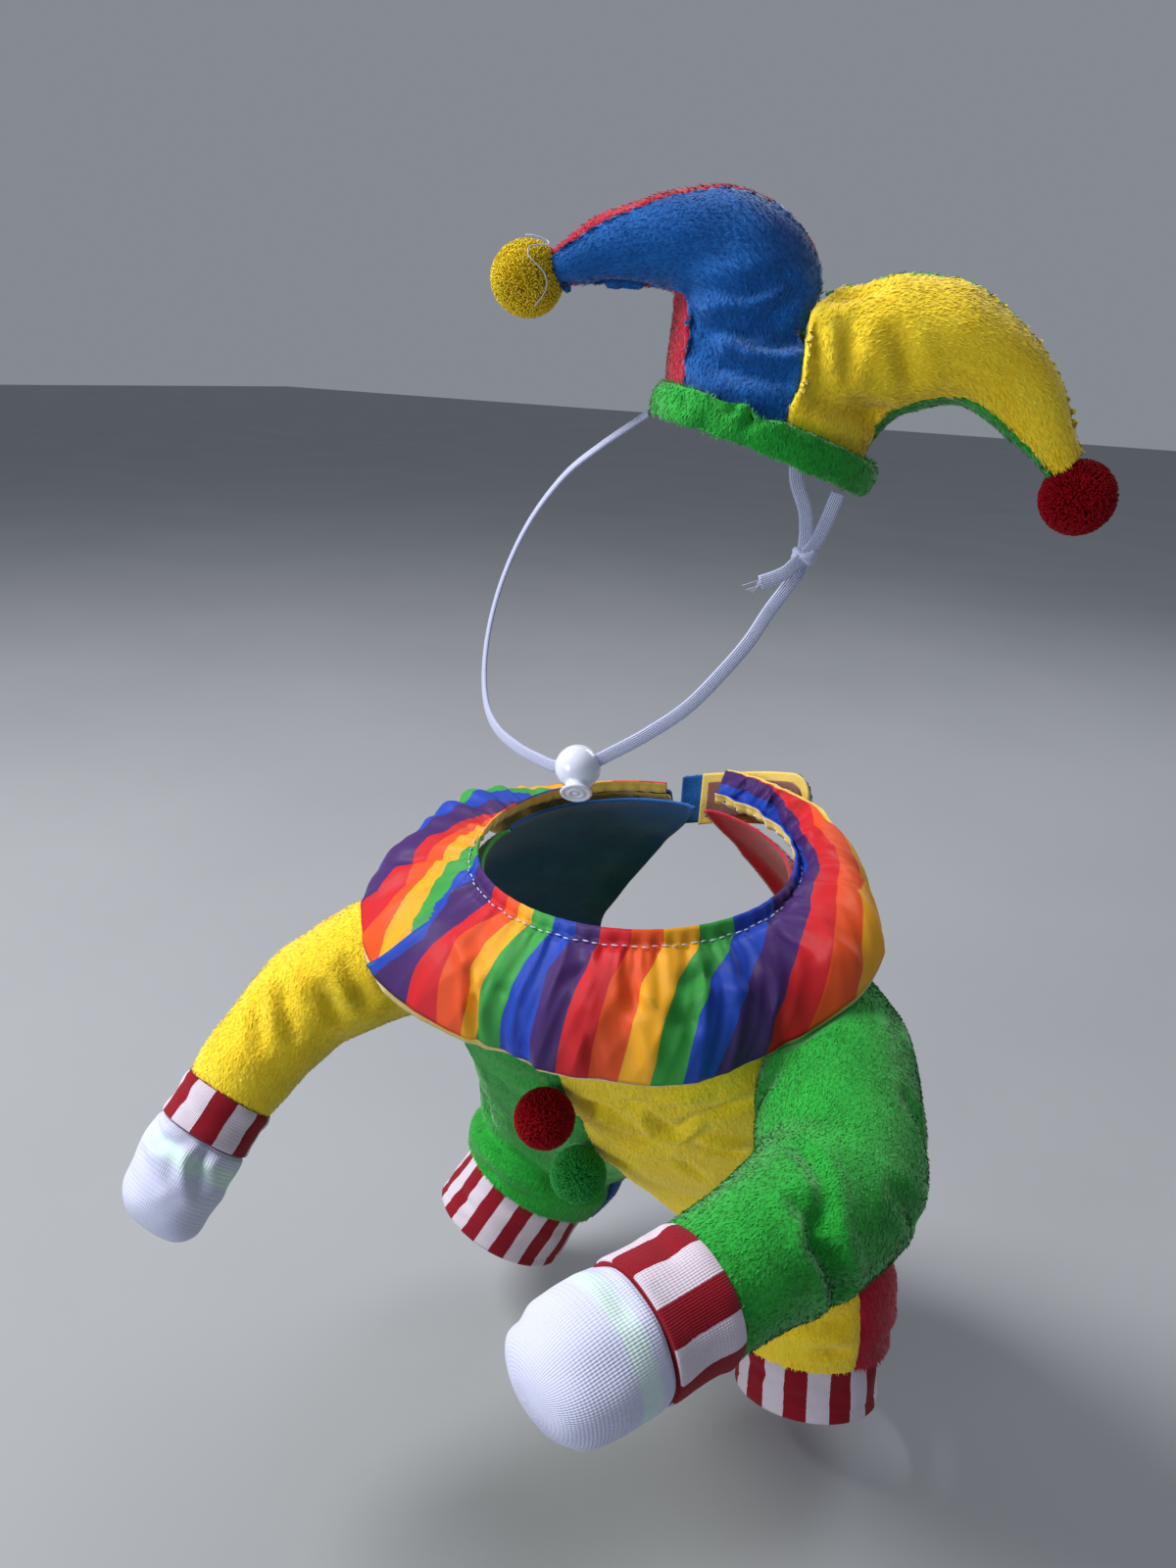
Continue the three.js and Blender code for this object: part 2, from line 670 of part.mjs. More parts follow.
const LEFT_HORN = table(
  HORN,
  [40, -14, 11.5, -1, 34, 0.78, 8, 0],
  [41, -5, 11.7, 9.5, 34, 0.85, 12, 0],
  [43.5, 0.5, 15.9, 25, 31, 1.1, 22, 0],
  [45.5, 3.8, 13.9, 36.5, 28, 1.45, 28, 0],
  [48, 6.5, 20, 47, 26, 1.85, 30, 0],
  [50.5, 8.3, 31, 51.5, 25, 2, 30, 2],
  [53.5, 9.6, 44, 55.6, 24, 2, 30, 5],
  [58, 10.8, 57, 55.6, 23, 2, 30, 8],
  [64, 12.2, 70.5, 53, 21.5, 2, 30, 12],
  [71, 12.6, 83.5, 45, 19.5, 2, 30, 14],
  [78.5, 9.2, 95.5, 34.5, 16.5, 2, 30, 12],
  [88.5, 2.5, 105, 22, 13, 2, 30, 0],
  [97, -4, 110.5, 9.5, 10, 2, 30, -20],
  [103.5, -10, 115, 0, 7, 2, 30, -30],
);
const HORN_ROWS = 16;
const ARC_POINTS = 9;

function sectionPoint(row, degrees) {
  // 0 is the top end, 90 the front, 180 the low end and 270 the back of the section.
  const share = (1 + Math.cos(turn(degrees))) / 2;
  const round = Math.sqrt(Math.max(1 - (1 - row.cut * share) ** 2, 0));
  const depth = row.deep * round * Math.sign(Math.sin(turn(degrees)));
  const u = THREE.MathUtils.lerp(row.lowU, row.topU, share);
  const w = THREE.MathUtils.lerp(row.lowW, row.topW, share);
  return { u, w, n: depth };
}

function hornHalf(rows, face) {
  // face is 1 for the front cloth with its stuffing and -1 for the back.
  const rings = [];
  for (let i = 0; i < HORN_ROWS; i += 1) {
    const row = smoothRow(rows, i / (HORN_ROWS - 1));
    const sliver = THREE.MathUtils.radToDeg((0.6 * SEAM) / row.deep) * face;
    const start = Math.max(row.topTurn, 0.4) + sliver;
    const end = 180 - Math.max(row.lowTurn, 0.4) - sliver;
    const ring = [];
    for (let j = 0; j < ARC_POINTS; j += 1) {
      const f = j / (ARC_POINTS - 1);
      const angle = face > 0 ? start + (end - start) * f : start - f * (360 - end + start);
      ring.push(sectionPoint(row, angle));
    }
    const flat = row.cut < 1.97 && row.topTurn < 1;
    const topEnd = flat ? { ...ring[0], n: 0 } : ring[0];
    const lowEnd = ring[ARC_POINTS - 1];
    for (const f of [0.06, 0.5, 0.94]) {
      ring.push({
        u: THREE.MathUtils.lerp(lowEnd.u, topEnd.u, f),
        w: THREE.MathUtils.lerp(lowEnd.w, topEnd.w, f),
        n: THREE.MathUtils.lerp(lowEnd.n, topEnd.n, f) + face * SEAM * 0.3,
      });
    }
    rings.push(ring.map((p) => hatPoint(p.u, p.w, p.n)));
  }
  return stuffedFromRings(rings);
}

const BAND = { middleU: 3, middleW: 0.5, tilt: -17.5, halfU: 41.2, halfN: 39, thick: 3.2, high: 6.8 };

function bandPoint(round, section, grow = 0) {
  // round goes along the band, section round its rolled cross section.
  const dent = 1.6 * Math.exp(-(((round - 1.95) / 0.3) ** 2));
  const outward = (BAND.thick + grow - dent) * Math.cos(section);
  const high = (BAND.high + grow) * Math.sin(section);
  const u = (BAND.halfU + outward) * Math.cos(round);
  const n = (BAND.halfN + outward) * Math.sin(round);
  const tilt = turn(BAND.tilt);
  const bend = 1.8 * Math.cos(2 * round);
  return hatPoint(
    BAND.middleU + u * Math.cos(tilt) - high * Math.sin(tilt),
    BAND.middleW + u * Math.sin(tilt) + high * Math.cos(tilt) - bend,
    n,
  );
}

function hatBand(grow = 0) {
  const around = 30;
  const sides = 8;
  const points = [];
  const faces = [];
  for (let i = 0; i < around; i += 1) {
    for (let j = 0; j < sides; j += 1) {
      points.push(bandPoint((i / around) * Math.PI * 2, (j / sides) * Math.PI * 2, grow));
    }
  }
  for (let i = 0; i < around; i += 1) {
    for (let j = 0; j < sides; j += 1) {
      const a = i * sides;
      const b = ((i + 1) % around) * sides;
      const k = (j + 1) % sides;
      faces.push(a + j, b + j, b + k, a + j, b + k, a + k);
    }
  }
  return geometryFrom(points, faces);
}

function headHollow() {
  // The rounded space that the top of the head goes into.
  const dome = new THREE.SphereGeometry(1, 20, 12);
  dome.scale(35, 31.5, 22);
  dome.rotateY(-turn(BAND.tilt));
  dome.rotateZ(turn(HAT.turned));
  const middle = hatPoint(BAND.middleU, BAND.middleW - 2, 0);
  dome.translate(middle.x, middle.y, middle.z);
  return dome;
}

function belowBand() {
  // Everything under the lower edge of the band.
  const block = new THREE.BoxGeometry(140, 120, 60);
  block.translate(0, 0, -30 - 3);
  block.rotateY(-turn(BAND.tilt));
  block.rotateZ(turn(HAT.turned));
  const middle = hatPoint(BAND.middleU, BAND.middleW, 0);
  block.translate(middle.x, middle.y, middle.z);
  return block;
}

// ---------------------------------------------------------------- pompoms

const POMPOM = { radius: 12.5, core: 10, tuft: 0.66 };
const POMPOMS = {
  pompom_hat_right: { place: hatPoint(-86.8, 49, 0), finish: 'yellow' },
  pompom_hat_left: { place: hatPoint(116, -15.5, 0), finish: 'red' },
  pompom_chest_upper: { place: point(-1, -69, -100), finish: 'red' },
  pompom_chest_lower: { place: point(0.5, -39, -150), finish: 'green' },
};

function pompom(place) {
  // A ball whose every facet is drawn out into one blunt lock of yarn.
  const ball = new THREE.OctahedronGeometry(POMPOM.core, 1);
  const corners = ball.attributes.position;
  const points = [];
  const faces = [];
  for (let i = 0; i < corners.count; i += 3) {
    const root = [0, 1, 2].map((k) => new THREE.Vector3().fromBufferAttribute(corners, i + k));
    const heart = root.reduce((sum, p) => sum.add(p), point(0, 0, 0)).divideScalar(3);
    const top = root.map((p) => heart.clone().lerp(p, POMPOM.tuft).setLength(POMPOM.radius));
    const base = points.length;
    points.push(...root, ...top);
    for (let k = 0; k < 3; k += 1) {
      const m = (k + 1) % 3;
      faces.push(base + k, base + m, base + 3 + m, base + k, base + 3 + m, base + 3 + k);
    }
    faces.push(base + 3, base + 4, base + 5);
  }
  const whole = mergeVertices(bareGeometry(points, faces), 1e-4);
  whole.rotateX(0.5);
  whole.rotateZ(0.3);
  whole.translate(place.x, place.y, place.z);
  return whole;
}

function bareGeometry(points, faces) {
  const geometry = new THREE.BufferGeometry();
  geometry.setAttribute('position', new THREE.Float32BufferAttribute(points.flatMap((p) => p.toArray()), 3));
  geometry.setIndex(faces);
  return geometry;
}

function clearance(place) {
  const ball = new THREE.SphereGeometry(POMPOM.radius + SEAM, 14, 10);
  ball.translate(place.x, place.y, place.z);
  return ball;
}

// ---------------------------------------------------------------- chin elastic and its stopper

const ELASTIC = { wide: 5, thick: 1.8 };
const KNOT = { place: point(73.6, -29.5, 147), radius: 4.6 };
const STOPPER = { place: point(13, -78, 67.6), radius: 8.5 };

// Routes of the elastic, from the hat's band to the knot, the stopper and the far side of the band.
const ROUTES = {
  elastic_strand_front: [
    [69.8, -37.1, 180.4], [69, -32.5, 172.5], [72, -29.5, 163], [73, -28.8, 156], [73.2, -29.4, 152],
  ],
  elastic_strand_back: [
    [81.8, -24.9, 169.2], [79.4, -25.2, 161], [78.2, -26.2, 156.5], [77.2, -27.4, 152.5],
  ],
  elastic_tail: [[72.4, -34.8, 144.6], [70.8, -37.4, 142], [67.8, -40, 140], [63.4, -43, 138]],
  elastic_near: [
    [72.4, -30.2, 141.4], [70, -34.2, 135.5], [66.4, -39.5, 127.5], [62.4, -45.9, 117], [56.2, -52.8, 106],
    [47, -60.2, 93], [35.5, -67.2, 82.5], [24.5, -73.2, 74.4], [20.6, -75.2, 71.8],
  ],
  elastic_far: [
    [3.6, -78.8, 66], [-4, -77, 66.4], [-16, -73.5, 67.5], [-30, -67.5, 70.5], [-41, -60, 77],
    [-48, -52, 90], [-50, -45, 108], [-47, -39, 128], [-39, -34.5, 148], [-26, -31.5, 166],
    [-12, -29, 178], [6.4, -25.8, 191.1],
  ],
};

function elasticStrand(name) {
  const path = new THREE.CatmullRomCurve3(ROUTES[name].map((p) => point(...p)), false, 'centripetal');
  const section = new THREE.Shape();
  for (let j = 0; j < 8; j += 1) {
    const a = ((j + 0.5) / 8) * Math.PI * 2;
    const corner = [(ELASTIC.thick / 2) * Math.cos(a), (ELASTIC.wide / 2) * Math.sin(a)];
    if (j === 0) {
      section.moveTo(...corner);
    } else {
      section.lineTo(...corner);
    }
  }
  section.closePath();
  const steps = Math.max(4, Math.round(path.getLength() / (2.2 * ELASTIC.wide)));
  const strand = new THREE.ExtrudeGeometry(section, { steps, extrudePath: path, bevelEnabled: false });
  strand.deleteAttribute('normal');
  strand.deleteAttribute('uv');
  return mergeVertices(strand, 1e-4);
}

function elasticKnot() {
  const knot = new THREE.SphereGeometry(KNOT.radius, 10, 8);
  knot.scale(1, 0.85, 1);
  knot.translate(KNOT.place.x, KNOT.place.y, KNOT.place.z);
  return knot;
}

function cordStopper() {
  // A ball with a push button: the button's neck and flared lip come out below.
  const r = STOPPER.radius;
  const profile = [
    [0, r], [r * 0.38, r * 0.925], [r * 0.71, r * 0.71], [r * 0.925, r * 0.38], [r, 0],
    [r * 0.925, -r * 0.38], [r * 0.71, -r * 0.71], [r * 0.5, -r * 0.87], [r * 0.5, -r * 1.15],
    [r * 0.68, -r * 1.25], [r * 0.7, -r * 1.36], [r * 0.45, -r * 1.42], [0, -r * 1.42],
  ].map(([out, up]) => new THREE.Vector2(out, up));
  const ball = new THREE.LatheGeometry(profile.reverse(), 16);
  ball.rotateX(turn(38));
  ball.rotateZ(turn(28));
  ball.translate(STOPPER.place.x, STOPPER.place.y, STOPPER.place.z);
  return ball;
}

// ---------------------------------------------------------------- build the suit

for (const word of ['right', 'left']) {
  const isRight = word === 'right';
  addPiece(`front_panel_${word}`, frontPanel(word), isRight ? 'green' : 'yellow');
  addPiece(`back_panel_${word}`, backPanel(word), isRight ? 'blue' : 'red');
  addPiece(`leg_cuff_${word}`, legCuff(word), 'stripedKnit');
  addPiece(`sleeve_${word}`, sleeve(word), isRight ? 'yellow' : 'green');
  const forearm = forearmPieces(word);
  addPiece(`arm_cuff_${word}`, forearm.cuff, 'stripedKnit');
  addPiece(`glove_${word}`, forearm.glove, 'whiteKnit');
}
addPiece('collar_ruffle', ruffle(), 'rainbowSatin');
addPiece('collar_under_layer', underLayer(), 'velour');
for (const [name, finish, ...layer] of TAB_LAYERS) {
  addPiece(name, tabLayer(...layer), finish);
}

// ---------------------------------------------------------------- build the hat

const hatCutters = [headHollow(), belowBand(), hatBand(SEAM)];
for (const [name, rows, finishes, end] of [
  ['right', RIGHT_HORN, ['blue', 'red'], 'pompom_hat_right'],
  ['left', LEFT_HORN, ['yellow', 'green'], 'pompom_hat_left'],
]) {
  const cutters = [...hatCutters, clearance(POMPOMS[end].place)];
  addPiece(`hat_front_${name}`, cutAway(hornHalf(rows, 1), ...cutters), finishes[0]);
  addPiece(`hat_back_${name}`, cutAway(hornHalf(rows, -1), ...cutters), finishes[1]);
}
addPiece('hat_band', hatBand(), 'green');

for (const [name, ball] of Object.entries(POMPOMS)) {
  addPiece(name, pompom(ball.place), ball.finish);
}

for (const name of Object.keys(ROUTES)) {
  addPiece(name, elasticStrand(name), 'elastic');
}
addPiece('elastic_knot', elasticKnot(), 'elastic');
addPiece('cord_stopper', cordStopper(), 'bead');

export default costume;
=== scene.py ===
import math

import bpy
import numpy as np
from mathutils import Matrix, Vector
from mathutils.bvhtree import BVHTree


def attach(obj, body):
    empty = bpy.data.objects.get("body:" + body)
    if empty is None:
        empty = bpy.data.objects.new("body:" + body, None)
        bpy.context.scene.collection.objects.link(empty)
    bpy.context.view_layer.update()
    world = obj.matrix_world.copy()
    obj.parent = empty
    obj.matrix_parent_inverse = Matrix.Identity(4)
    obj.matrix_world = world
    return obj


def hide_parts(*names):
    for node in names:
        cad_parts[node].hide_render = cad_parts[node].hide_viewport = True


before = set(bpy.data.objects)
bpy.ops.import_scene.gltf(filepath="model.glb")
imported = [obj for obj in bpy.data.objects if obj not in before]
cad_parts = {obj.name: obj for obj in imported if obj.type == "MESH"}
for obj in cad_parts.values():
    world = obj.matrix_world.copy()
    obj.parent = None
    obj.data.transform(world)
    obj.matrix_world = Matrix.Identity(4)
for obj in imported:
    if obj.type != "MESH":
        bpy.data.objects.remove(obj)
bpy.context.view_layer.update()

# ---------------------------------------------------------------- camera, floor and light
# The costume stands on air over a pale studio floor, at the height where its wearer's feet would be.
# The camera looks a little down on it, from in front and from the wearer's left.

MM = 0.001
CAMERA_PLACE = Vector((210.2, -418.4, 209.1)) * MM
CAMERA_TURN, CAMERA_DIP, CAMERA_ROLL = (math.radians(a) for a in (29.5, 20.6, 2.8))
FOCAL_PIXELS, FRAME_HEIGHT_PIXELS, SENSOR_MM = 1155, 1600, 36
FLOOR_HEIGHT = -358.6 * MM

ahead = Vector((
    -math.sin(CAMERA_TURN) * math.cos(CAMERA_DIP),
    math.cos(CAMERA_TURN) * math.cos(CAMERA_DIP),
    -math.sin(CAMERA_DIP),
))
level = Vector((math.cos(CAMERA_TURN), math.sin(CAMERA_TURN), 0))
upright = level.cross(ahead)
right = level * math.cos(CAMERA_ROLL) + upright * math.sin(CAMERA_ROLL)
up = upright * math.cos(CAMERA_ROLL) - level * math.sin(CAMERA_ROLL)

camera = bpy.data.objects.new("camera", bpy.data.cameras.new("camera"))
camera.data.sensor_fit = "VERTICAL"
camera.data.sensor_height = SENSOR_MM
camera.data.sensor_width = SENSOR_MM
camera.data.lens = SENSOR_MM * FOCAL_PIXELS / FRAME_HEIGHT_PIXELS
camera.data.clip_start = 0.01
camera.matrix_world = Matrix.Translation(CAMERA_PLACE) @ Matrix((right, up, -ahead)).transposed().to_4x4()
bpy.context.scene.collection.objects.link(camera)
bpy.context.scene.camera = camera


def add_node(tree, kind, settings=None, inputs=None):
    """A node with its properties set; an input is a value, or the output that feeds it."""
    node = tree.nodes.new(kind)
    for name, value in (settings or {}).items():
        setattr(node, name, value)
    for name, value in (inputs or {}).items():
        if isinstance(value, bpy.types.NodeSocket):
            tree.links.new(value, node.inputs[name])
        else:
            node.inputs[name].default_value = value
    return node


def start_material(name, roughness, sheen=0.0, sheen_roughness=0.5, specular=0.3):
    """A node material with one shader; returns it with its tree and shader."""
    material = bpy.data.materials.new(name)
    material.use_nodes = True
    tree = material.node_tree
    shader = tree.nodes["Principled BSDF"]
    shader.inputs["Roughness"].default_value = roughness
    shader.inputs["Sheen Weight"].default_value = sheen
    shader.inputs["Sheen Roughness"].default_value = sheen_roughness
    shader.inputs["Specular IOR Level"].default_value = specular
    return material, tree, shader


def mixed_colour(tree, share, first, second):
    """The colour between two others; each is a value or the output that feeds it."""
    mix = add_node(tree, "ShaderNodeMix", {"data_type": "RGBA"}, {0: share, 6: first, 7: second})
    return mix.outputs[2]


def sum_of(tree, operation, *values):
    """The output of a math node with these values or outputs."""
    return add_node(tree, "ShaderNodeMath", {"operation": operation}, dict(enumerate(values))).outputs[0]


def noise(tree, scale, detail, where=None):
    """Noise over the piece, on Object coordinates or on another output."""
    where = where or add_node(tree, "ShaderNodeTexCoord").outputs["Object"]
    values = {"Vector": where, "Scale": scale, "Detail": detail}
    return add_node(tree, "ShaderNodeTexNoise", None, values).outputs["Fac"]


def dress(tree, shader, colour, normal=None):
    """Leads a colour and a normal to the shader."""
    tree.links.new(colour, shader.inputs["Base Color"])
    if normal:
        tree.links.new(normal, shader.inputs["Normal"])


def floor_material():
    """Pale grey floor, hardly clouded."""
    material, tree, shader = start_material("studio_floor", 0.75, specular=0.2)
    tint = mixed_colour(tree, noise(tree, 2.6, 4), (0.31, 0.325, 0.35, 1), (0.37, 0.385, 0.41, 1))
    dress(tree, shader, tint)
    return material


def add_mesh(name, points, faces, material):
    """A smooth mesh object at the origin, its points in metres."""
    mesh = bpy.data.meshes.new(name)
    mesh.from_pydata(np.asarray(points).tolist(), [], [tuple(int(n) for n in face) for face in faces])
    mesh.materials.append(material)
    mesh.polygons.foreach_set("use_smooth", [True] * len(mesh.polygons))
    mesh.update()
    piece = bpy.data.objects.new(name, mesh)
    bpy.context.scene.collection.objects.link(piece)
    return piece


FLOOR_REACH = 12
floor = add_mesh(
    "studio_floor",
    [(x * FLOOR_REACH, y * FLOOR_REACH, FLOOR_HEIGHT) for x, y in ((-1, -1), (1, -1), (1, 1), (-1, 1))],
    [(0, 1, 2, 3)],
    floor_material(),
)


def add_lamp(name, place, aim, size, watts, colour):
    """A round area lamp that looks at a place."""
    lamp = bpy.data.objects.new(name, bpy.data.lights.new(name, "AREA"))
    lamp.data.shape = "DISK"
    lamp.data.size = size
    lamp.data.energy = watts
    lamp.data.color = colour
    lamp.location = place
    lamp.rotation_euler = (Vector(aim) - Vector(place)).to_track_quat("-Z", "Y").to_euler()
    bpy.context.scene.collection.objects.link(lamp)


add_lamp("window", (-1.3, -0.6, 1.7), (0.02, 0, -0.05), 0.9, 60, (1, 0.985, 0.96))
add_lamp("fill", (-0.8, -1.9, 0.3), (0.02, 0, -0.1), 0.9, 13, (0.94, 0.97, 1))
add_lamp("back_rim", (0.4, 1.8, 1.3), (0.02, 0, 0), 1.2, 14, (1, 1, 1))

sky = bpy.data.worlds.new("studio_sky")
sky.use_nodes = True
sky.node_tree.nodes["Background"].inputs["Color"].default_value = (0.74, 0.80, 0.90, 1)
sky.node_tree.nodes["Background"].inputs["Strength"].default_value = 0.32
bpy.context.scene.world = sky
bpy.context.scene.view_settings.view_transform = "Standard"
bpy.context.scene.view_settings.look = "None"

# ---------------------------------------------------------------- chin elastic, its knot and its stopper
# A flat white elastic runs from one side of the hat's band under the chin to the other. On the wearer's
# left it is doubled and knotted, with a short frayed end. It is threaded through a ball-shaped stopper.

ELASTIC_WIDE, ELASTIC_THICK = 5.0, 1.5
KNOT_PLACE = np.array((73.6, -29.5, 147.0))
KNOT_RADIUS = 4.4
STOPPER_PLACE = np.array((13.0, -78.0, 67.6))
STOPPER_RADIUS = 8.5

# From the band through the knot, the stopper and round to the far side of the band, in mm.
LOOP_ROUTE = [
    (69.8, -37.1, 180.4), (69, -32.5, 172.5), (72, -29.5, 163), (73, -28.8, 156), (73.4, -29.4, 151),
    (73.3, -29.9, 146), (72.4, -30.6, 141), (70, -34.2, 135.5), (66.4, -39.5, 127.5), (62.4, -45.9, 117),
    (56.2, -52.8, 106), (47, -60.2, 93), (35.5, -67.2, 82.5), (24.5, -73.2, 74.4), (18, -76.4, 70.2),
    (11, -78.3, 67.2), (3.6, -78.6, 66.1), (-4, -77, 66.4), (-16, -73.5, 67.5), (-30, -67.5, 70.5),
    (-41, -60, 77), (-48, -52, 90), (-50, -45, 108), (-47, -39, 128), (-39, -34.5, 148),
    (-26, -31.5, 166), (-12, -29, 178), (6.4, -25.8, 191.1),
]
# The doubled strand: from the band behind the first, through the knot, to the frayed end.
TAIL_ROUTE = [
    (81.8, -24.9, 169.2), (79.4, -25.2, 161), (78.2, -26.2, 156.5), (76.6, -28, 151.5),
    (74.6, -31, 147.4), (72.4, -34.8, 144.4), (70.8, -37.4, 142), (67.8, -40, 140), (63.4, -43, 138),
]


def smooth_path(points, step):
    """Points about step apart on a smooth curve through these points."""
    points = np.asarray(points, float)
    last = len(points) - 1
    fine = []
    for i in range(last):
        p0, p1 = points[max(i - 1, 0)], points[i]
        p2, p3 = points[i + 1], points[min(i + 2, last)]
        count = max(1, round(float(np.linalg.norm(p2 - p1)) / step))
        for k in range(count):
            f = k / count
            fine.append(0.5 * (
                2 * p1 + (p2 - p0) * f + (2 * p0 - 5 * p1 + 4 * p2 - p3) * f**2
                + (3 * p1 - p0 - 3 * p2 + p3) * f**3
            ))
    fine.append(points[last])
    return np.array(fine)


def path_length(path):
    return float(np.linalg.norm(np.diff(path, axis=0), axis=1).sum())


def full_turn(steps):
    """Even angles of one whole turn."""
    return np.arange(steps) / steps * 2 * math.pi


def carried_frames(path, first_side):
    """Sides and backs along a path, each side turned as little as can be from the last."""
    heads = np.gradient(path, axis=0)
    heads /= np.linalg.norm(heads, axis=1)[:, None]
    sides, side = [], np.asarray(first_side, float)
    for head in heads:
        side = side - head * side.dot(head)
        side /= np.linalg.norm(side)
        sides.append(side)
    sides = np.array(sides)
    return sides, np.cross(heads, sides)


def grid_faces(rows, columns, closed):
    """Quads of a grid of points, row by row."""
    i, j = np.meshgrid(np.arange(rows - 1), np.arange(columns if closed else columns - 1), indexing="ij")
    k = (j + 1) % columns
    quads = np.stack([i * columns + j, i * columns + k, (i + 1) * columns + k, (i + 1) * columns + j], -1)
    return quads.reshape(-1, 4)


def pole_faces(rows, columns):
    """Triangles that close a grid's first and last rings onto the two points after them."""
    first, last, end = rows * columns, rows * columns + 1, (rows - 1) * columns
    pairs = [(j, (j + 1) % columns) for j in range(columns)]
    return [face for j, k in pairs for face in ((first, k, j), (last, end + j, end + k))]


def lay_uv(piece, corner_uv=0):
    """A UV map from one (u, v) for each face corner, in metres, or the same all over."""
    layer = piece.data.uv_layers.new(name="cloth")
    values = np.zeros((len(piece.data.loops), 2), np.float32) + np.asarray(corner_uv, np.float32)
    layer.data.foreach_set("uv", values.ravel())


def grid_corner_uv(u, v):
    """The corner values of grid_faces; u and v are grids with one more column where it is closed."""
    uv = np.stack([u, v], -1)
    return np.stack([uv[:-1, :-1], uv[:-1, 1:], uv[1:, 1:], uv[1:, :-1]], 2).reshape(-1, 2)


def flat_ribbon(name, route, first_side, material):
    """A flat strip with softly rounded edges along a route; returns the piece and its centre line."""
    path = smooth_path(route, 1.2)
    sides, backs = carried_frames(path, first_side)
    round_steps = 20
    a = full_turn(round_steps)
    wide = np.sign(np.cos(a)) * np.abs(np.cos(a)) ** 0.6 * ELASTIC_WIDE / 2
    thick = np.sign(np.sin(a)) * np.abs(np.sin(a)) ** 0.8 * ELASTIC_THICK / 2
    ring = path[:, None] + sides[:, None] * wide[None, :, None] + backs[:, None] * thick[None, :, None]
    rows = len(path)
    points = np.concatenate([ring.reshape(-1, 3), path[:1], path[-1:]]) * MM
    faces = grid_faces(rows, round_steps, True).tolist() + pole_faces(rows, round_steps)
    u = np.append(wide, wide[0])[None].repeat(rows, 0) * MM
    v = np.linspace(0, path_length(path), rows)[:, None].repeat(round_steps + 1, 1) * MM
    corners = grid_corner_uv(u, v).tolist() + [(0, 0)] * 6 * round_steps
    piece = add_mesh(name, points, faces, material)
    lay_uv(piece, corners)
    return piece, path


def cloth_places(tree):
    """Where a point lies along u and v of its cloth, in metres, as two outputs, and both as one."""
    uv = add_node(tree, "ShaderNodeUVMap", {"uv_map": "cloth"}).outputs["UV"]
    place = add_node(tree, "ShaderNodeSeparateXYZ", None, {"Vector": uv}).outputs
    return place["X"], place["Y"], uv


def waves(tree, along, period):
    """Even waves from -1 to 1, one in each period in mm."""
    return sum_of(tree, "SINE", sum_of(tree, "MULTIPLY", along, 2 * math.pi / (period * MM)))


def raised(tree, height, strength, distance):
    """The normal of a surface with this relief; distance in mm."""
    return add_node(tree, "ShaderNodeBump", None, {
        "Height": height, "Strength": strength, "Distance": distance * MM,
    }).outputs["Normal"]


def elastic_material():
    """White ribbed elastic: fine cords run along it, crossed by closer threads; painted shade darkens the
    grooves between the cords.
    """
    material, tree, shader = start_material("white_elastic", 0.62, sheen=0.15, specular=0.35)
    across, along, _ = cloth_places(tree)
    cords = waves(tree, across, 0.72)
    height = sum_of(tree, "MULTIPLY_ADD", waves(tree, along, 0.6), 0.25, cords)
    # The colour follows the cords: painted shade in the grooves between them, their tops paler.
    share = sum_of(tree, "MULTIPLY_ADD", cords, 0.5, 0.5)
    tint = mixed_colour(tree, share, (0.33, 0.36, 0.58, 1), (0.66, 0.70, 0.90, 1))
    dress(tree, shader, tint, raised(tree, height, 0.6, 0.2))
    return material


elastic_white = elastic_material()
loop, loop_path = flat_ribbon("elastic_loop", LOOP_ROUTE, (0.75, 0.4, 0.3), elastic_white)
tail, tail_path = flat_ribbon("elastic_tail_strand", TAIL_ROUTE, (0.75, 0.4, 0.3), elastic_white)


def round_tube(path, radius, sides=8):
    """Points and faces of a closed round tube; radius is one number or one for each point."""
    path = np.asarray(path, float)
    radius = np.broadcast_to(np.asarray(radius, float), (len(path),))
    first_side = np.cross(path[1] - path[0], (0.31, 0.57, 0.76))
    across, backs = carried_frames(path, first_side)
    a = full_turn(sides)
    ring = path[:, None] + radius[:, None, None] * (
        across[:, None] * np.cos(a)[None, :, None] + backs[:, None] * np.sin(a)[None, :, None]
    )
    points = np.concatenate([ring.reshape(-1, 3), path[:1], path[-1:]])
    return points, grid_faces(len(path), sides, True).tolist() + pole_faces(len(path), sides)


def joined(parts):
    """One set of points and faces from several."""
    points, faces, base = [], [], 0
    for part_points, part_faces in parts:
        points.append(part_points)
        faces += [tuple(base + n for n in face) for face in part_faces]
        base += len(part_points)
    return np.concatenate(points), faces


def white_strands(name, shape):
    """A piece of plain white elastic or thread, from points in mm and faces."""
    points, faces = shape
    piece = add_mesh(name, points * MM, faces, elastic_white)
    lay_uv(piece)
    return piece


def wrapped_knot():
    """Two crossing wraps of the elastic, drawn tight round the strands."""
    turns = []
    for tilt, size in ((24, 1.0), (-30, 0.93)):
        a = np.linspace(0, 2 * math.pi, 41)
        lean = math.radians(tilt)
        x, y = KNOT_RADIUS * 0.72 * size * np.cos(a), KNOT_RADIUS * 0.58 * size * np.sin(a)
        z = x * math.tan(lean) * 0.7 + 0.5 * np.sin(2 * a)
        turns.append(round_tube(np.stack([x, y, z], -1) + KNOT_PLACE, 1.55))
    core = np.linspace(-1, 1, 9)
    path = KNOT_PLACE + np.stack([0 * core, 0 * core, core * 3.4], -1)
    turns.append(round_tube(path, 2.3 * np.sqrt(np.maximum(1 - core**2 * 0.85, 0.05)), 12))
    return joined(turns)


knot = white_strands("elastic_knot_wraps", wrapped_knot())


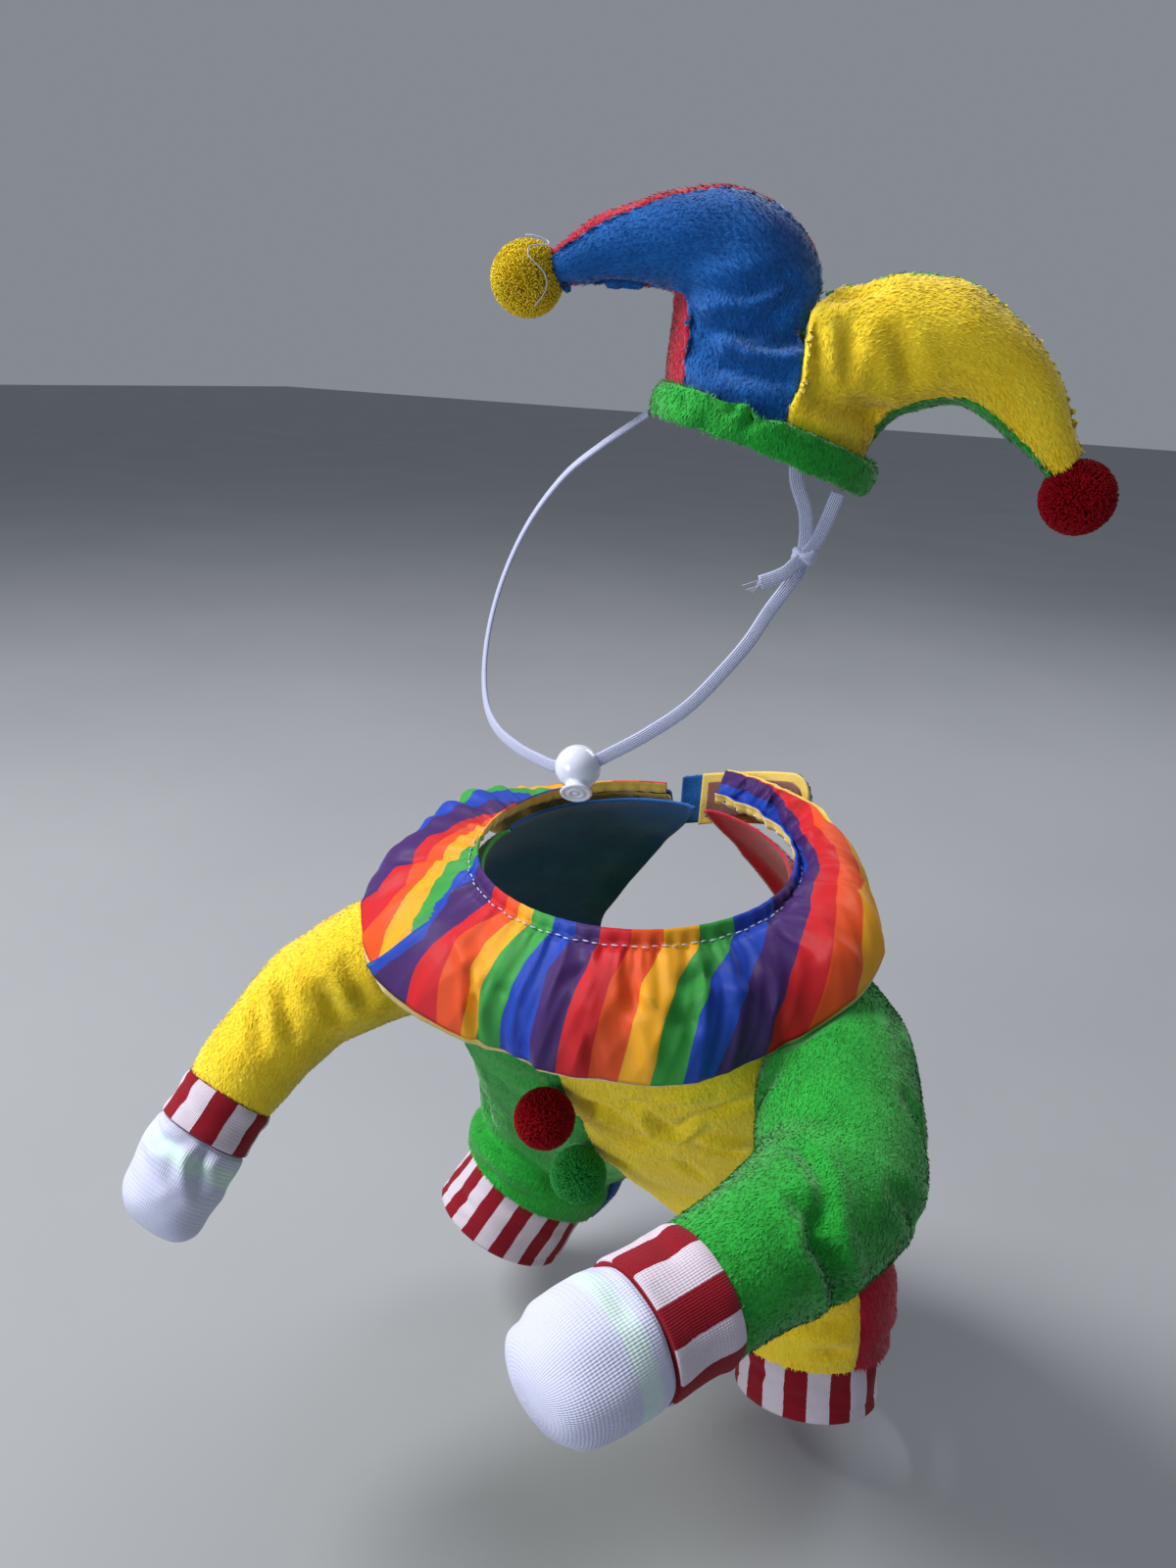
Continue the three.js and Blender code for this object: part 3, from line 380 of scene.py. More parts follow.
def frayed_end():
    """Loose threads that spread from the cut end."""
    draw = np.random.default_rng(11)
    end, before = tail_path[-1], tail_path[-6]
    head = (end - before) / np.linalg.norm(end - before)
    threads = []
    for k in range(14):
        spread = draw.normal(0, 0.42, 3)
        start = end - head * 1.0 + np.array((0.4, 0.3, 0.9)) * draw.uniform(-1.7, 1.7)
        reach = draw.uniform(2.2, 4.6)
        sag = np.array((0, 0, -draw.uniform(0.2, 1.6)))
        path = [start + (head + spread) * reach * f + sag * f**2 for f in np.linspace(0, 1, 6)]
        threads.append(round_tube(path, 0.13, 4))
    return joined(threads)


fray = white_strands("elastic_frayed_end", frayed_end())


def bead_material():
    """Glossy white moulded plastic, a little cool and faintly see-through."""
    material, tree, shader = start_material("white_bead", 0.12, specular=0.5)
    cloud = noise(tree, 130, 3)
    dress(tree, shader, mixed_colour(tree, cloud, (0.66, 0.70, 0.88, 1), (0.78, 0.81, 0.93, 1)))
    tree.links.new(sum_of(tree, "MULTIPLY_ADD", cloud, 0.1, 0.1), shader.inputs["Roughness"])
    for name, value in (
        ("Subsurface Weight", 0.2), ("Subsurface Scale", 3 * MM),
        ("Coat Weight", 0.4), ("Coat Roughness", 0.08),
    ):
        shader.inputs[name].default_value = value
    return material


def turned(profile, steps):
    """A shape turned about Z from (radius, height) pairs; it starts and ends on the axis."""
    profile = np.asarray(profile, float)
    a = full_turn(steps)
    inner = profile[1:-1]
    rings = np.stack([
        inner[:, :1] * np.cos(a), inner[:, :1] * np.sin(a), inner[:, 1:].repeat(steps, 1),
    ], -1).reshape(-1, 3)
    points = np.concatenate([rings, [(0, 0, profile[0, 1]), (0, 0, profile[-1, 1])]])
    return points, grid_faces(len(inner), steps, True).tolist() + pole_faces(len(inner), steps)


def stopper_shape():
    """The ball, its push button with a ringed cap, and the button's flared lip."""
    r = STOPPER_RADIUS
    ball = [(r * math.sin(a), -r * math.cos(a)) for a in np.linspace(math.pi, 0.62, 30)]
    neck = [(r * 0.50, -r * 0.86), (r * 0.47, -r * 0.98), (r * 0.47, -r * 1.10), (r * 0.52, -r * 1.18)]
    lip = [(r * 0.66, -r * 1.24), (r * 0.70, -r * 1.30), (r * 0.66, -r * 1.36), (r * 0.55, -r * 1.37)]
    rings = [(r * 0.50, -r * 1.30), (r * 0.40, -r * 1.31), (r * 0.36, -r * 1.38), (r * 0.28, -r * 1.38),
             (r * 0.24, -r * 1.31), (r * 0.14, -r * 1.31), (r * 0.10, -r * 1.37), (0, -r * 1.38)]
    points, faces = turned(ball + neck + lip + rings, 56)
    lean = Matrix.Rotation(math.radians(28), 3, "Z") @ Matrix.Rotation(math.radians(38 - 90), 3, "X")
    points = points @ np.array(lean).T + STOPPER_PLACE
    return points, [face[::-1] for face in faces]


stopper_points, stopper_faces = stopper_shape()
stopper = add_mesh("cord_stopper_ball", stopper_points * MM, stopper_faces, bead_material())


def settle(piece, slot, *nodes):
    """Every piece is carried by the one body and may stand in for CAD nodes; its slot is not used."""
    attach(piece, "root")
    if nodes:
        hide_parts(*nodes)


settle(loop, "white_elastic", "elastic_strand_front", "elastic_near", "elastic_far")
settle(tail, "white_elastic", "elastic_strand_back", "elastic_tail")
settle(knot, "white_elastic", "elastic_knot")
settle(stopper, "white_bead", "cord_stopper")
settle(fray, "white_elastic")

# ---------------------------------------------------------------- suit: front and back panels
# Four panels of short plush, quartered in green and yellow in front and blue and red behind. They are sewn
# at the sides, down the middle of the front and inside the legs; the back is left open above the seat.

CLOTH_THICK = 2.4  # backing and pile
PILE_SHARE = 1.0  # how far the pile stands above the backing

# Sections of the wearer's left half, from the neck to the ankle. out, back, up: middle; wide: half
# width; fore, aft: half depth in front and behind; pitch, roll: lean in degrees; open: the back
# panel's inner edge.
TRUNK = [
    (0, 0, -3, 70, 70, 70, 4.2, 0, 88),
    (0, 4, -14, 82, 77, 74, 4, 0, 83),
    (1, 14, -36, 97, 86, 80, 2, 0, 72),
    (2, 30, -66, 108, 99, 84, 0, 0, 60),
    (4, 52, -98, 114, 109, 82, -2, 0, 50),
    (8, 72, -130, 117, 112, 76, -4, 0, 52),
    (16, 90, -165, 114, 113, 68, -7, -2, 72),
    (36, 100, -196, 96, 106, 62, -12, -4, 112),
]
LEGS = {
    "left": [
        (59, 96, -228, 70, 80, 56, -15, -6, 156),
        (79, 86, -256, 52, 58, 50, -18, -8, 180),
        (86, 78, -278, 49, 53, 48, -18, -10, 180),
        (90, 73, -294, 44, 46, 44, -18, -10, 180),
    ],
    "right": [
        (62, 97, -220, 74, 80, 56, -17, -8, 156),
        (84, 90, -242, 53, 56, 50, -20, -15, 180),
        (91, 83, -259, 50, 51, 48, -22, -20, 180),
        (95, 77, -273, 45, 46, 45, -22, -22, 180),
    ],
}
BODY = {word: np.array(TRUNK + rows, float) for word, rows in LEGS.items()}
SIDES = {"right": -1, "left": 1}

# The big creases across the trousers: place down the panel, depth, reach, middle and spread in degrees.
BIG_CREASES = {
    "left": [
        (0.785, 7.5, 0.026, 95, 95), (0.785, 5, 0.025, -60, 80), (0.6, 3, 0.03, 60, 40),
        (0.66, 3, 0.03, -60, 40),
    ],
    "right": [
        (0.868, 7.5, 0.028, 95, 95), (0.86, 5, 0.027, -60, 80), (0.68, 3, 0.03, 60, 40),
        (0.66, 3, 0.03, -60, 40),
    ],
}


def smooth_rows(rows, t):
    """Values between the rows of a table, on a smooth curve through them; t runs from 0 to 1."""
    last = len(rows) - 1
    place = min(max(t, 0), 1) * last
    i = min(int(place), last - 1)
    f = place - i
    p0, p1, p2, p3 = rows[max(i - 1, 0)], rows[i], rows[i + 1], rows[min(i + 2, last)]
    slope_in, slope_out = (p2 - p0) / 2, (p3 - p1) / 2
    return (
        p1 * (2 * f**3 - 3 * f**2 + 1) + slope_in * (f**3 - 2 * f**2 + f)
        + p2 * (3 * f**2 - 2 * f**3) + slope_out * (f**3 - f**2)
    )


def body_row(word, down, angles):
    """Points round the body at one height; 0 is the side seam and positive angles run to the front."""
    out, back, up, wide, fore, aft, pitch, roll, _ = smooth_rows(BODY[word], down)
    a = np.radians(angles)
    pitch, roll = math.radians(pitch), math.radians(roll)
    inset = sum(
        depth * math.exp(-(((down - at) / reach) ** 2)) * np.exp(-(((angles - middle) / spread) ** 2))
        for at, depth, reach, middle, spread in BIG_CREASES[word]
    )
    across = (wide - inset) * np.cos(a)
    along = -(np.where(angles > 0, fore, aft) - inset) * np.sin(a)
    return np.stack([
        SIDES[word] * (out + across * math.cos(roll)),
        back + along * math.cos(pitch),
        up + along * math.sin(pitch) - across * math.sin(roll),
    ], -1)


def front_edge(word, down):
    """The middle of the front down to the crotch, and the inseam below it."""
    out, _, _, wide, _, _, _, roll, _ = smooth_rows(BODY[word], down)
    share = -(out - 0.15) / (wide * math.cos(math.radians(roll)))
    return min(math.degrees(math.acos(max(share, -1))), 179.6)


def back_edge(word, down):
    """The back opening's edge from the neck to the seat, and the inseam below it."""
    return -min(smooth_rows(BODY[word], down)[8], front_edge(word, down))


def side_seam(word, down):
    """The side seam is drawn to the front on its way down the left trouser leg; degrees round."""
    share = min(max((down - 0.5) / 0.35, 0), 1)
    return 36 * share * share * (3 - 2 * share) if word == "left" else 0


def grid_normals(grid, closed=False):
    """Unit normals of a grid of points, on the side of columns crossed with rows."""
    if closed:
        along_columns = np.roll(grid, -1, 1) - np.roll(grid, 1, 1)
    else:
        along_columns = np.gradient(grid, axis=1)
    normals = np.cross(along_columns, np.gradient(grid, axis=0))
    return normals / np.maximum(np.linalg.norm(normals, axis=2, keepdims=True), 1e-9)


def press_folds(grid, normals, folds):
    """Presses creases into points in mm. Each fold: half width, depth, then the places it runs
    through, which are first brought onto the cloth. A little cloth is pushed up beside it; a negative
    depth makes a ridge."""
    moved = grid.copy()
    flat = grid.reshape(-1, 3)
    for half_width, depth, *places in folds:
        line = [flat[np.linalg.norm(flat - np.asarray(place), axis=1).argmin()] for place in places]
        best = np.full(grid.shape[:-1], 1e9)
        along = np.zeros(grid.shape[:-1])
        for i, (start, end) in enumerate(zip(line, line[1:])):
            run = end - start
            t = np.clip(((grid - start) @ run) / max(run @ run, 1e-9), 0, 1)
            away = np.linalg.norm(grid - start - t[..., None] * run, axis=-1)
            along = np.where(away < best, (i + t) / (len(line) - 1), along)
            best = np.minimum(best, away)
        away = best / half_width
        shape = np.exp(-(away**1.5)) - 0.28 * np.exp(-((away - 1.9) ** 2))
        fade = 0.4 + 0.6 * np.sin(math.pi * np.clip(along, 0.02, 0.98))
        moved -= normals * (depth * shape * fade)[..., None]
    return moved


def wall_mesh(name, outer, inner, material, u, v, closed=False):
    """A closed wall between two like grids, in mm, with its cloth's UV map in mm."""
    rows, columns = outer.shape[:2]
    half = rows * columns
    points = np.concatenate([outer.reshape(-1, 3), inner.reshape(-1, 3)]) * MM
    face = grid_faces(rows, columns, closed)
    outer_uv = grid_corner_uv(u, v)
    inner_uv = outer_uv.reshape(-1, 4, 2)[:, ::-1].reshape(-1, 2)
    quads, uvs = [face, (face + half)[:, ::-1]], [outer_uv, inner_uv]
    across = columns if closed else columns - 1
    j = np.arange(across)
    k = (j + 1) % columns
    here, there = slice(0, across), slice(1, across + 1)
    upper, lower = slice(0, -1), slice(1, None)
    rims = []
    for i, flip in ((0, False), (rows - 1, True)):
        a, b = i * columns + j, i * columns + k
        places = [(i, n) for n in (here, there, there, here)]
        rims.append(((half + a, half + b, b, a), places, flip))
    if not closed:
        i = np.arange(rows - 1)
        for j, flip in ((0, False), (columns - 1, True)):
            a, b = i * columns + j, (i + 1) * columns + j
            places = [(n, j) for n in (upper, upper, lower, lower)]
            rims.append(((half + a, a, b, half + b), places, flip))
    for rim, places, flip in rims:
        rim = np.stack(rim, -1)
        rim_uv = np.stack([np.stack([u[place], v[place]], -1) for place in places], 1)
        quads.append(rim[:, ::-1] if flip else rim)
        uvs.append((rim_uv[:, ::-1] if flip else rim_uv).reshape(-1, 2))
    faces, uvs = np.concatenate(quads), np.concatenate(uvs).reshape(-1, 4, 2)
    a, b, c, d = (points[faces[:, n]] for n in range(4))
    volume = (a * np.cross(b, c)).sum() + (a * np.cross(c, d)).sum()
    if volume < 0:
        faces, uvs = faces[:, ::-1], uvs[:, ::-1]
    piece = add_mesh(name, points, faces, material)
    lay_uv(piece, uvs.reshape(-1, 2) * MM)
    return piece


def outward_faces(grid, normals):
    """The quads of an open grid of points, turned so that they face the way of its normals."""
    faces = grid_faces(grid.shape[0], grid.shape[1], False)
    corners = grid.reshape(-1, 3)[faces]
    facing = np.cross(corners[:, 2] - corners[:, 0], corners[:, 3] - corners[:, 1])
    agrees = (facing * normals.reshape(-1, 3)[faces[:, 0]]).sum()
    return faces if agrees > 0 else faces[:, ::-1]


def cloth_uv(grid):
    """u across the grid and v down it, as lengths in mm measured along the cloth."""
    across = np.linalg.norm(np.diff(grid, axis=1), axis=2)
    u = np.concatenate([np.zeros((len(grid), 1)), across.cumsum(1)], 1)
    down = np.linalg.norm(np.diff(grid, axis=0), axis=2)
    v = np.concatenate([np.zeros((1, grid.shape[1])), down.cumsum(0)], 0)
    return u, v


def towards_cloth(tree, own, weight):
    """A fibre's shading normal, drawn towards that of the cloth it stands on."""
    cloth = add_node(tree, "ShaderNodeAttribute", {"attribute_name": "cloth_normal"})
    turned = add_node(tree, "ShaderNodeVectorTransform", {
        "vector_type": "VECTOR", "convert_from": "OBJECT", "convert_to": "WORLD",
    }, {"Vector": cloth.outputs["Vector"]})
    result = turned.outputs[0]
    for operation, inputs in (("SCALE", {"Scale": weight}), ("ADD", {1: own}), ("NORMALIZE", {})):
        node = add_node(tree, "ShaderNodeVectorMath", {"operation": operation}, {0: result, **inputs})
        result = node.outputs["Vector"]
    return result


def colour_steps(tree, share, stops, interpolation="LINEAR"):
    """A colour that follows a share from 0 to 1 through (position, colour) stops."""
    ramp = add_node(tree, "ShaderNodeValToRGB", None, {"Fac": share})
    ramp.color_ramp.interpolation = interpolation
    elements = ramp.color_ramp.elements
    for element, (position, colour) in ((elements[1], stops[-1]), (elements[0], stops[0])):
        element.position, element.color = position, (*colour, 1)
    for position, colour in stops[1:-1]:
        elements.new(position).color = (*colour, 1)
    return ramp.outputs["Color"]


def plush_material(name, colour, deep, tip):
    """Short plush: the pile lies one way, darker between the locks with painted shade and paler at their
    tips with a painted highlight.
    """
    material, tree, shader = start_material(name, 0.82, sheen=0.45, sheen_roughness=0.45, specular=0.1)
    lock = add_node(tree, "ShaderNodeAttribute", {"attribute_name": "tone"})
    fine = noise(tree, 850, 2)
    mixed = sum_of(tree, "MULTIPLY", noise(tree, 60, 4), 0.5)
    mixed = sum_of(tree, "MULTIPLY_ADD", fine, 0.35, mixed)
    mixed = sum_of(tree, "ADD", lock.outputs["Fac"], mixed)
    # deep is a painted shade and tip a painted highlight of the plush's colour, spread at random by each
    # lock's tone and the noise;
    # the fine noise that raises the nap also pales it, a painted light on its raised spots.
    tint = colour_steps(tree, mixed, [(0.2, deep), (0.55, colour), (0.95, tip)])
    dress(tree, shader, tint, towards_cloth(tree, raised(tree, fine, 0.5, 0.6), 0.9))
    return material


# Each plush: its colour, then its painted shade (deep) and its painted highlight (tip).
PLUSH = {
    "green": plush_material("green_plush", (0.022, 0.42, 0.045), (0.008, 0.22, 0.020), (0.075, 0.60, 0.12)),
    "yellow": plush_material("yellow_plush", (1.0, 0.77, 0.035), (0.94, 0.60, 0.014), (1.0, 0.90, 0.17)),
    "blue": plush_material("blue_plush", (0.008, 0.12, 0.44), (0.004, 0.055, 0.24), (0.035, 0.24, 0.62)),
    "red": plush_material("red_plush", (0.52, 0.006, 0.035), (0.28, 0.003, 0.016), (0.74, 0.025, 0.08)),
}


def start_tree(name, made, **sockets):
    """An empty Geometry Nodes tree with these inputs and one output; also its inputs' sockets."""
    tree = bpy.data.node_groups.new(name, "GeometryNodeTree")
    for socket, kind in sockets.items():
        name, kind = socket.replace("_", " "), "NodeSocket" + kind
        tree.interface.new_socket(name, in_out="INPUT", socket_type=kind)
    tree.interface.new_socket(made, in_out="OUTPUT", socket_type="NodeSocketGeometry")
    return tree, tree.nodes.new("NodeGroupInput").outputs


def vector_of(tree, x, y, z):
    """One vector from three numbers or outputs."""
    return add_node(tree, "ShaderNodeCombineXYZ", None, {"X": x, "Y": y, "Z": z}).outputs[0]


def random_value(tree, kind, low, high, seed):
    """A random number or vector for each point."""
    ends = {2: low, 3: high} if kind == "FLOAT" else {"Min": low, "Max": high}
    node = add_node(tree, "FunctionNodeRandomValue", {"data_type": kind}, {**ends, "Seed": seed})
    return node.outputs[1] if kind == "FLOAT" else node.outputs["Value"]


def strewn(tree, cloth, amount, seed):
    """Random points on cloth, and a rotation that stands up from it at each."""
    spots = add_node(tree, "GeometryNodeDistributePointsOnFaces", {"distribute_method": "RANDOM"}, {
        "Mesh": cloth, "Density": amount, "Seed": seed,
    })
    stand = add_node(tree, "FunctionNodeAlignRotationToVector", {"axis": "Z"}, {
        "Vector": spots.outputs["Normal"],
    })
    return spots, stand.outputs["Rotation"]


def tossed(tree, rotation, low, high, seed):
    """A rotation turned on by random angles about its own axes."""
    toss = random_value(tree, "FLOAT_VECTOR", low, high, seed)
    turn = add_node(tree, "FunctionNodeEulerToRotation", None, {"Euler": toss}).outputs["Rotation"]
    return add_node(tree, "FunctionNodeRotateRotation", {"rotation_space": "LOCAL"}, {
        "Rotation": rotation, "Rotate By": turn,
    }).outputs["Rotation"]


def grown(tree, spots, fibre, rotation, scale, tones, finish):
    """Stands a fibre on each point, keeps its tone and its cloth's normal, and makes one mesh of all."""
    strands = add_node(tree, "GeometryNodeInstanceOnPoints", None, {
        "Points": spots.outputs["Points"], "Instance": fibre, "Rotation": rotation, "Scale": scale,
    }).outputs["Instances"]
    for kind, name, value in (
        ("FLOAT", "tone", random_value(tree, "FLOAT", *tones)),
        ("FLOAT_VECTOR", "cloth_normal", spots.outputs["Normal"]),
    ):
        kept = {"data_type": kind, "domain": "INSTANCE"}
        strands = add_node(tree, "GeometryNodeStoreNamedAttribute", kept, {
            "Geometry": strands, "Name": name, "Value": value,
        }).outputs["Geometry"]
    real = add_node(tree, "GeometryNodeRealizeInstances", None, {"Geometry": strands}).outputs["Geometry"]
    painted = add_node(tree, "GeometryNodeSetMaterial", None, {"Geometry": real, "Material": finish})
    tree.links.new(painted.outputs["Geometry"], tree.nodes.new("NodeGroupOutput").inputs[0])


def pile_tree():
    """Geometry Nodes that cover cloth with short locks of pile, laid along the cloth's comb direction."""
    tree, given = start_tree(
        "plush_pile", "Pile", Cloth="Geometry", Locks_per_m2="Float", Length="Float", Width="Float",
        Lean="Float", Spread="Float", Seed="Int", Finish="Material",
    )
    cover = add_node(tree, "GeometryNodeInputNamedAttribute", {"data_type": "FLOAT"}, {"Name": "pile"})
    amount = sum_of(tree, "MULTIPLY", given["Locks per m2"], cover.outputs["Attribute"])
    spots, stand = strewn(tree, given["Cloth"], amount, given["Seed"])
    comb = add_node(tree, "GeometryNodeInputNamedAttribute", {"data_type": "FLOAT_VECTOR"}, {
        "Name": "comb",
    })
    lie = add_node(tree, "FunctionNodeAlignRotationToVector", {"axis": "X", "pivot_axis": "Z"}, {
        "Rotation": stand, "Vector": comb.outputs["Attribute"],
    })
    ends = []
    for sign in (-1, 1):
        wide = sum_of(tree, "MULTIPLY", given["Spread"], sign)
        lean = sum_of(tree, "MULTIPLY", given["Lean"], -1)
        tilt = sum_of(tree, "MULTIPLY_ADD", given["Spread"], sign * 0.45, lean)
        ends.append(vector_of(tree, wide, tilt, wide))
    turned_lock = tossed(tree, lie.outputs["Rotation"], *ends, given["Seed"])
    lock = add_node(tree, "GeometryNodeMeshCircle", {"fill_type": "NGON"}, {
        "Vertices": 3, "Radius": 1 / 1.5,
    })
    rooted = add_node(tree, "GeometryNodeTransform", None, {
        "Geometry": lock.outputs["Mesh"], "Translation": (1 / 3, 0, 0),
    })
    scale = add_node(tree, "ShaderNodeVectorMath", {"operation": "SCALE"}, {
        0: vector_of(tree, given["Length"], given["Width"], given["Length"]),
        "Scale": random_value(tree, "FLOAT", 0.65, 1.25, 7),
    })
    grown(
        tree, spots, rooted.outputs["Geometry"], turned_lock, scale.outputs["Vector"], (-0.1, 0.2, 3),
        given["Finish"],
    )
    return tree


PILE_TREE = pile_tree()
LOCKS_PER_M2 = 1.06e6
PILE_LENGTH, PILE_WIDTH, PILE_LEAN, PILE_SPREAD = 1.8, 0.6, 0.33, 0.5  # mm, mm, radians, radians


def made_by_nodes(name, source, tree, values):
    """The plain mesh object that a node tree makes from a source object, which is then removed."""
    modifier = source.modifiers.new(name, "NODES")
    modifier.node_group = tree
    names = {item.name: item.identifier for item in tree.interface.items_tree if item.in_out == "INPUT"}
    for key, value in values.items():
        modifier[names[key]] = value
    seen = source.evaluated_get(bpy.context.evaluated_depsgraph_get())
    mesh = bpy.data.meshes.new_from_object(seen)
    mesh.name = name
    piece = bpy.data.objects.new(name, mesh)
    bpy.context.scene.collection.objects.link(piece)
    bpy.data.objects.remove(source)
    return piece


def grow_pile(name, points, faces, comb, material, seed, cover=None, length=PILE_LENGTH):
    """A pile object over a sheet of points in mm; comb gives the way the pile lies at each point."""
    sheet = add_mesh(name + "_sheet", np.asarray(points).reshape(-1, 3) * MM, faces, material)
    count = len(sheet.data.vertices)
    lay = sheet.data.attributes.new("comb", "FLOAT_VECTOR", "POINT")
    lay.data.foreach_set("vector", np.asarray(comb, np.float32).reshape(count, 3).ravel())
    amount = sheet.data.attributes.new("pile", "FLOAT", "POINT")
    amount.data.foreach_set("value", np.ones(count) if cover is None else np.float32(cover).ravel())
    return made_by_nodes(name, sheet, PILE_TREE, {
        "Locks per m2": LOCKS_PER_M2, "Length": length * MM, "Width": PILE_WIDTH * MM,
        "Lean": PILE_LEAN, "Spread": PILE_SPREAD, "Seed": seed, "Finish": material,
    })


PANEL_ROWS, PANEL_COLUMNS = 140, 60
SEAM_DIP, SEAM_REACH = 1.1, 3.2  # how the cloth is drawn in at a seam
RED_PILE = 1.5  # the red plush is shaggier than the others

# Soft creases of each panel: half width in mm, depth, then places as share down and degrees round.
PANEL_FOLDS = {
    "front_panel_left": [
        (2.8, -3.4, (0.40, 88), (0.38, 83), (0.41, 79)),
        (2.6, 2.6, (0.375, 90), (0.362, 83), (0.385, 77)), (2.6, 2.4, (0.34, 76), (0.335, 71)),
        (2.8, -3.6, (0.365, 73), (0.40, 73), (0.405, 68), (0.365, 61)),
        (2.6, 3.0, (0.355, 70), (0.385, 69), (0.385, 66), (0.345, 61)),
        (2.8, -3.0, (0.40, 62), (0.405, 53)), (2.6, 2.6, (0.425, 64), (0.43, 55)),
        (3, 3.4, (0.335, 58), (0.31, 46)), (2.8, -2.6, (0.315, 66), (0.30, 56)),
        (3, 3, (0.52, 91), (0.53, 85)), (3, 3, (0.475, 71), (0.505, 68)),
        (3, 3.2, (0.42, 84), (0.44, 72)), (3, -2.6, (0.46, 86), (0.475, 76)),
        (3, 2.6, (0.44, 96), (0.47, 92)), (4, 3.4, (0.62, 60), (0.66, 85), (0.67, 110)),
        (4, 3.2, (0.86, 70), (0.875, 105), (0.87, 140)), (3.6, 3, (0.93, 45), (0.925, 62)),
        (4, 3, (0.7, 52), (0.74, 70)), (3.6, 2.6, (0.56, 50), (0.6, 42)),
        (3.6, 3.2, (0.84, 40), (0.85, 60), (0.845, 85)), (3.6, -2.4, (0.89, 44), (0.895, 75)),
    ],
    "front_panel_right": [
        (5, 3.9, (0.675, 46), (0.815, 58), (0.84, 82), (0.85, 107)),
        (4.5, 3, (0.975, 46), (0.965, 80), (0.95, 115)), (4.5, 2.7, (0.45, 70), (0.5, 52)),
        (4.5, 2.7, (0.6, 84), (0.66, 62)), (4.5, 2.4, (0.36, 86), (0.4, 70)),
        (5, -2.4, (0.73, 60), (0.76, 90)), (4.5, 2.4, (0.74, 110), (0.77, 140)),
    ],
    "back_panel_left": [
        (5, 3.3, (0.34, -130), (0.37, -95), (0.35, -60)), (5, 3, (0.58, -150), (0.61, -110), (0.6, -70)),
        (5, 3, (0.7, -60), (0.74, -90)), (5, 3, (0.87, -40), (0.88, -80), (0.86, -120)),
        (4.5, -2.7, (0.47, -120), (0.5, -80)), (4.5, 2.7, (0.93, 10), (0.94, -30)),
        (4.5, 2.4, (0.66, 4), (0.72, -14)), (4.5, 2.4, (0.5, -30), (0.54, -50)),
    ],
    "back_panel_right": [
        (5, 3.3, (0.35, -125), (0.38, -90), (0.36, -55)), (5, 3, (0.6, -145), (0.63, -105), (0.61, -70)),
        (5, 3, (0.74, -50), (0.78, -85)), (5, 3, (0.9, -40), (0.91, -85), (0.89, -125)),
        (4.5, -2.7, (0.49, -115), (0.52, -75)), (4.5, 2.4, (0.5, -28), (0.55, -46)),
        (4.5, 2.4, (0.68, -24), (0.72, -50)),
    ],
}


def suit_panel(name, word, face, colour):
    """One panel of the suit with its pile. face is 1 for a front panel and -1 for a back one."""
    edge = front_edge if face > 0 else back_edge
    finer = 1.5 if name == "front_panel_left" else 1  # the belly's creases are sharp
    downs = np.linspace(0, 1, round(PANEL_ROWS * finer))
    columns = round(PANEL_COLUMNS * finer)
    outer = np.array([
        body_row(word, down, np.linspace(side_seam(word, down) + 0.16 * face, edge(word, down), columns))
        for down in downs
    ])
    centres = np.array([smooth_rows(BODY[word], down)[:3] for down in downs]) * (SIDES[word], 1, 1)
    normals = grid_normals(outer)
    facing = ((outer - centres[:, None]) * normals).sum(2, keepdims=True)
    normals = normals * np.sign(np.median(facing))
    u, v = cloth_uv(outer)
    edge_gap = np.minimum(u, u[:, -1:] - u)
    outer = outer - normals * (SEAM_DIP * np.exp(-((edge_gap / SEAM_REACH) ** 2)))[..., None]
    ripple = 0.35 * np.sin(v / 7.5 + 1.3 * np.sin(u / 19)) * np.sin(u / 23 + 0.7)
    outer = outer + normals * ripple[..., None]
    folds = [
        (half_width, depth, *(body_row(word, down, np.array([angle]))[0] for down, angle in places))
        for half_width, depth, *places in PANEL_FOLDS[name]
    ]
    outer = press_folds(outer, normals, folds)
    backing = outer - normals * PILE_SHARE
    inner = outer - normals * CLOTH_THICK
    panel = wall_mesh(name + "_cloth", backing, inner, PLUSH[colour], u, v)
    comb = np.gradient(outer, axis=0)
    pile = grow_pile(
        name + "_pile", backing, outward_faces(backing, normals), comb, PLUSH[colour],
        length=PILE_LENGTH * (RED_PILE if colour == "red" else 1), seed=len(name) + face,
    )
    settle(panel, colour + "_plush", name)
    settle(pile, colour + "_plush")


suit_panel("front_panel_right", "right", 1, "green")
suit_panel("front_panel_left", "left", 1, "yellow")
suit_panel("back_panel_right", "right", -1, "blue")
suit_panel("back_panel_left", "left", -1, "red")

# ---------------------------------------------------------------- suit: striped cuffs of the trouser legs
# A tube of knit with red and white stripes that run down it, sewn up inside the trouser's rolled end. Its
# own hem is turned and open.

KNIT_THICK = 1.6
CUFF_TUCK = 8
LEG_CUFFS = {"left": (29, 39, 0.5, 10), "right": (38, 39, 2, 13)}  # length, radius, flare, stripe pairs
LEG_STRIPES_WIDE = 24.5  # a pair's share of u
LEG_HEM = 5.5  # from the cuff's end up to its stitches


def in_section(word, row, across, along, below):
    """Places in a section's leaning plane, or square below it."""
    out, back, up, pitch, roll = row[0], row[1], row[2], math.radians(row[6]), math.radians(row[7])
    return np.stack(np.broadcast_arrays(
        SIDES[word] * (out + across * math.cos(roll) - below * math.sin(roll)),
        back + along * math.cos(pitch) + below * math.sin(pitch),
        up + along * math.sin(pitch) - across * math.sin(roll) - below * math.cos(roll) * math.cos(pitch),
    ), -1)


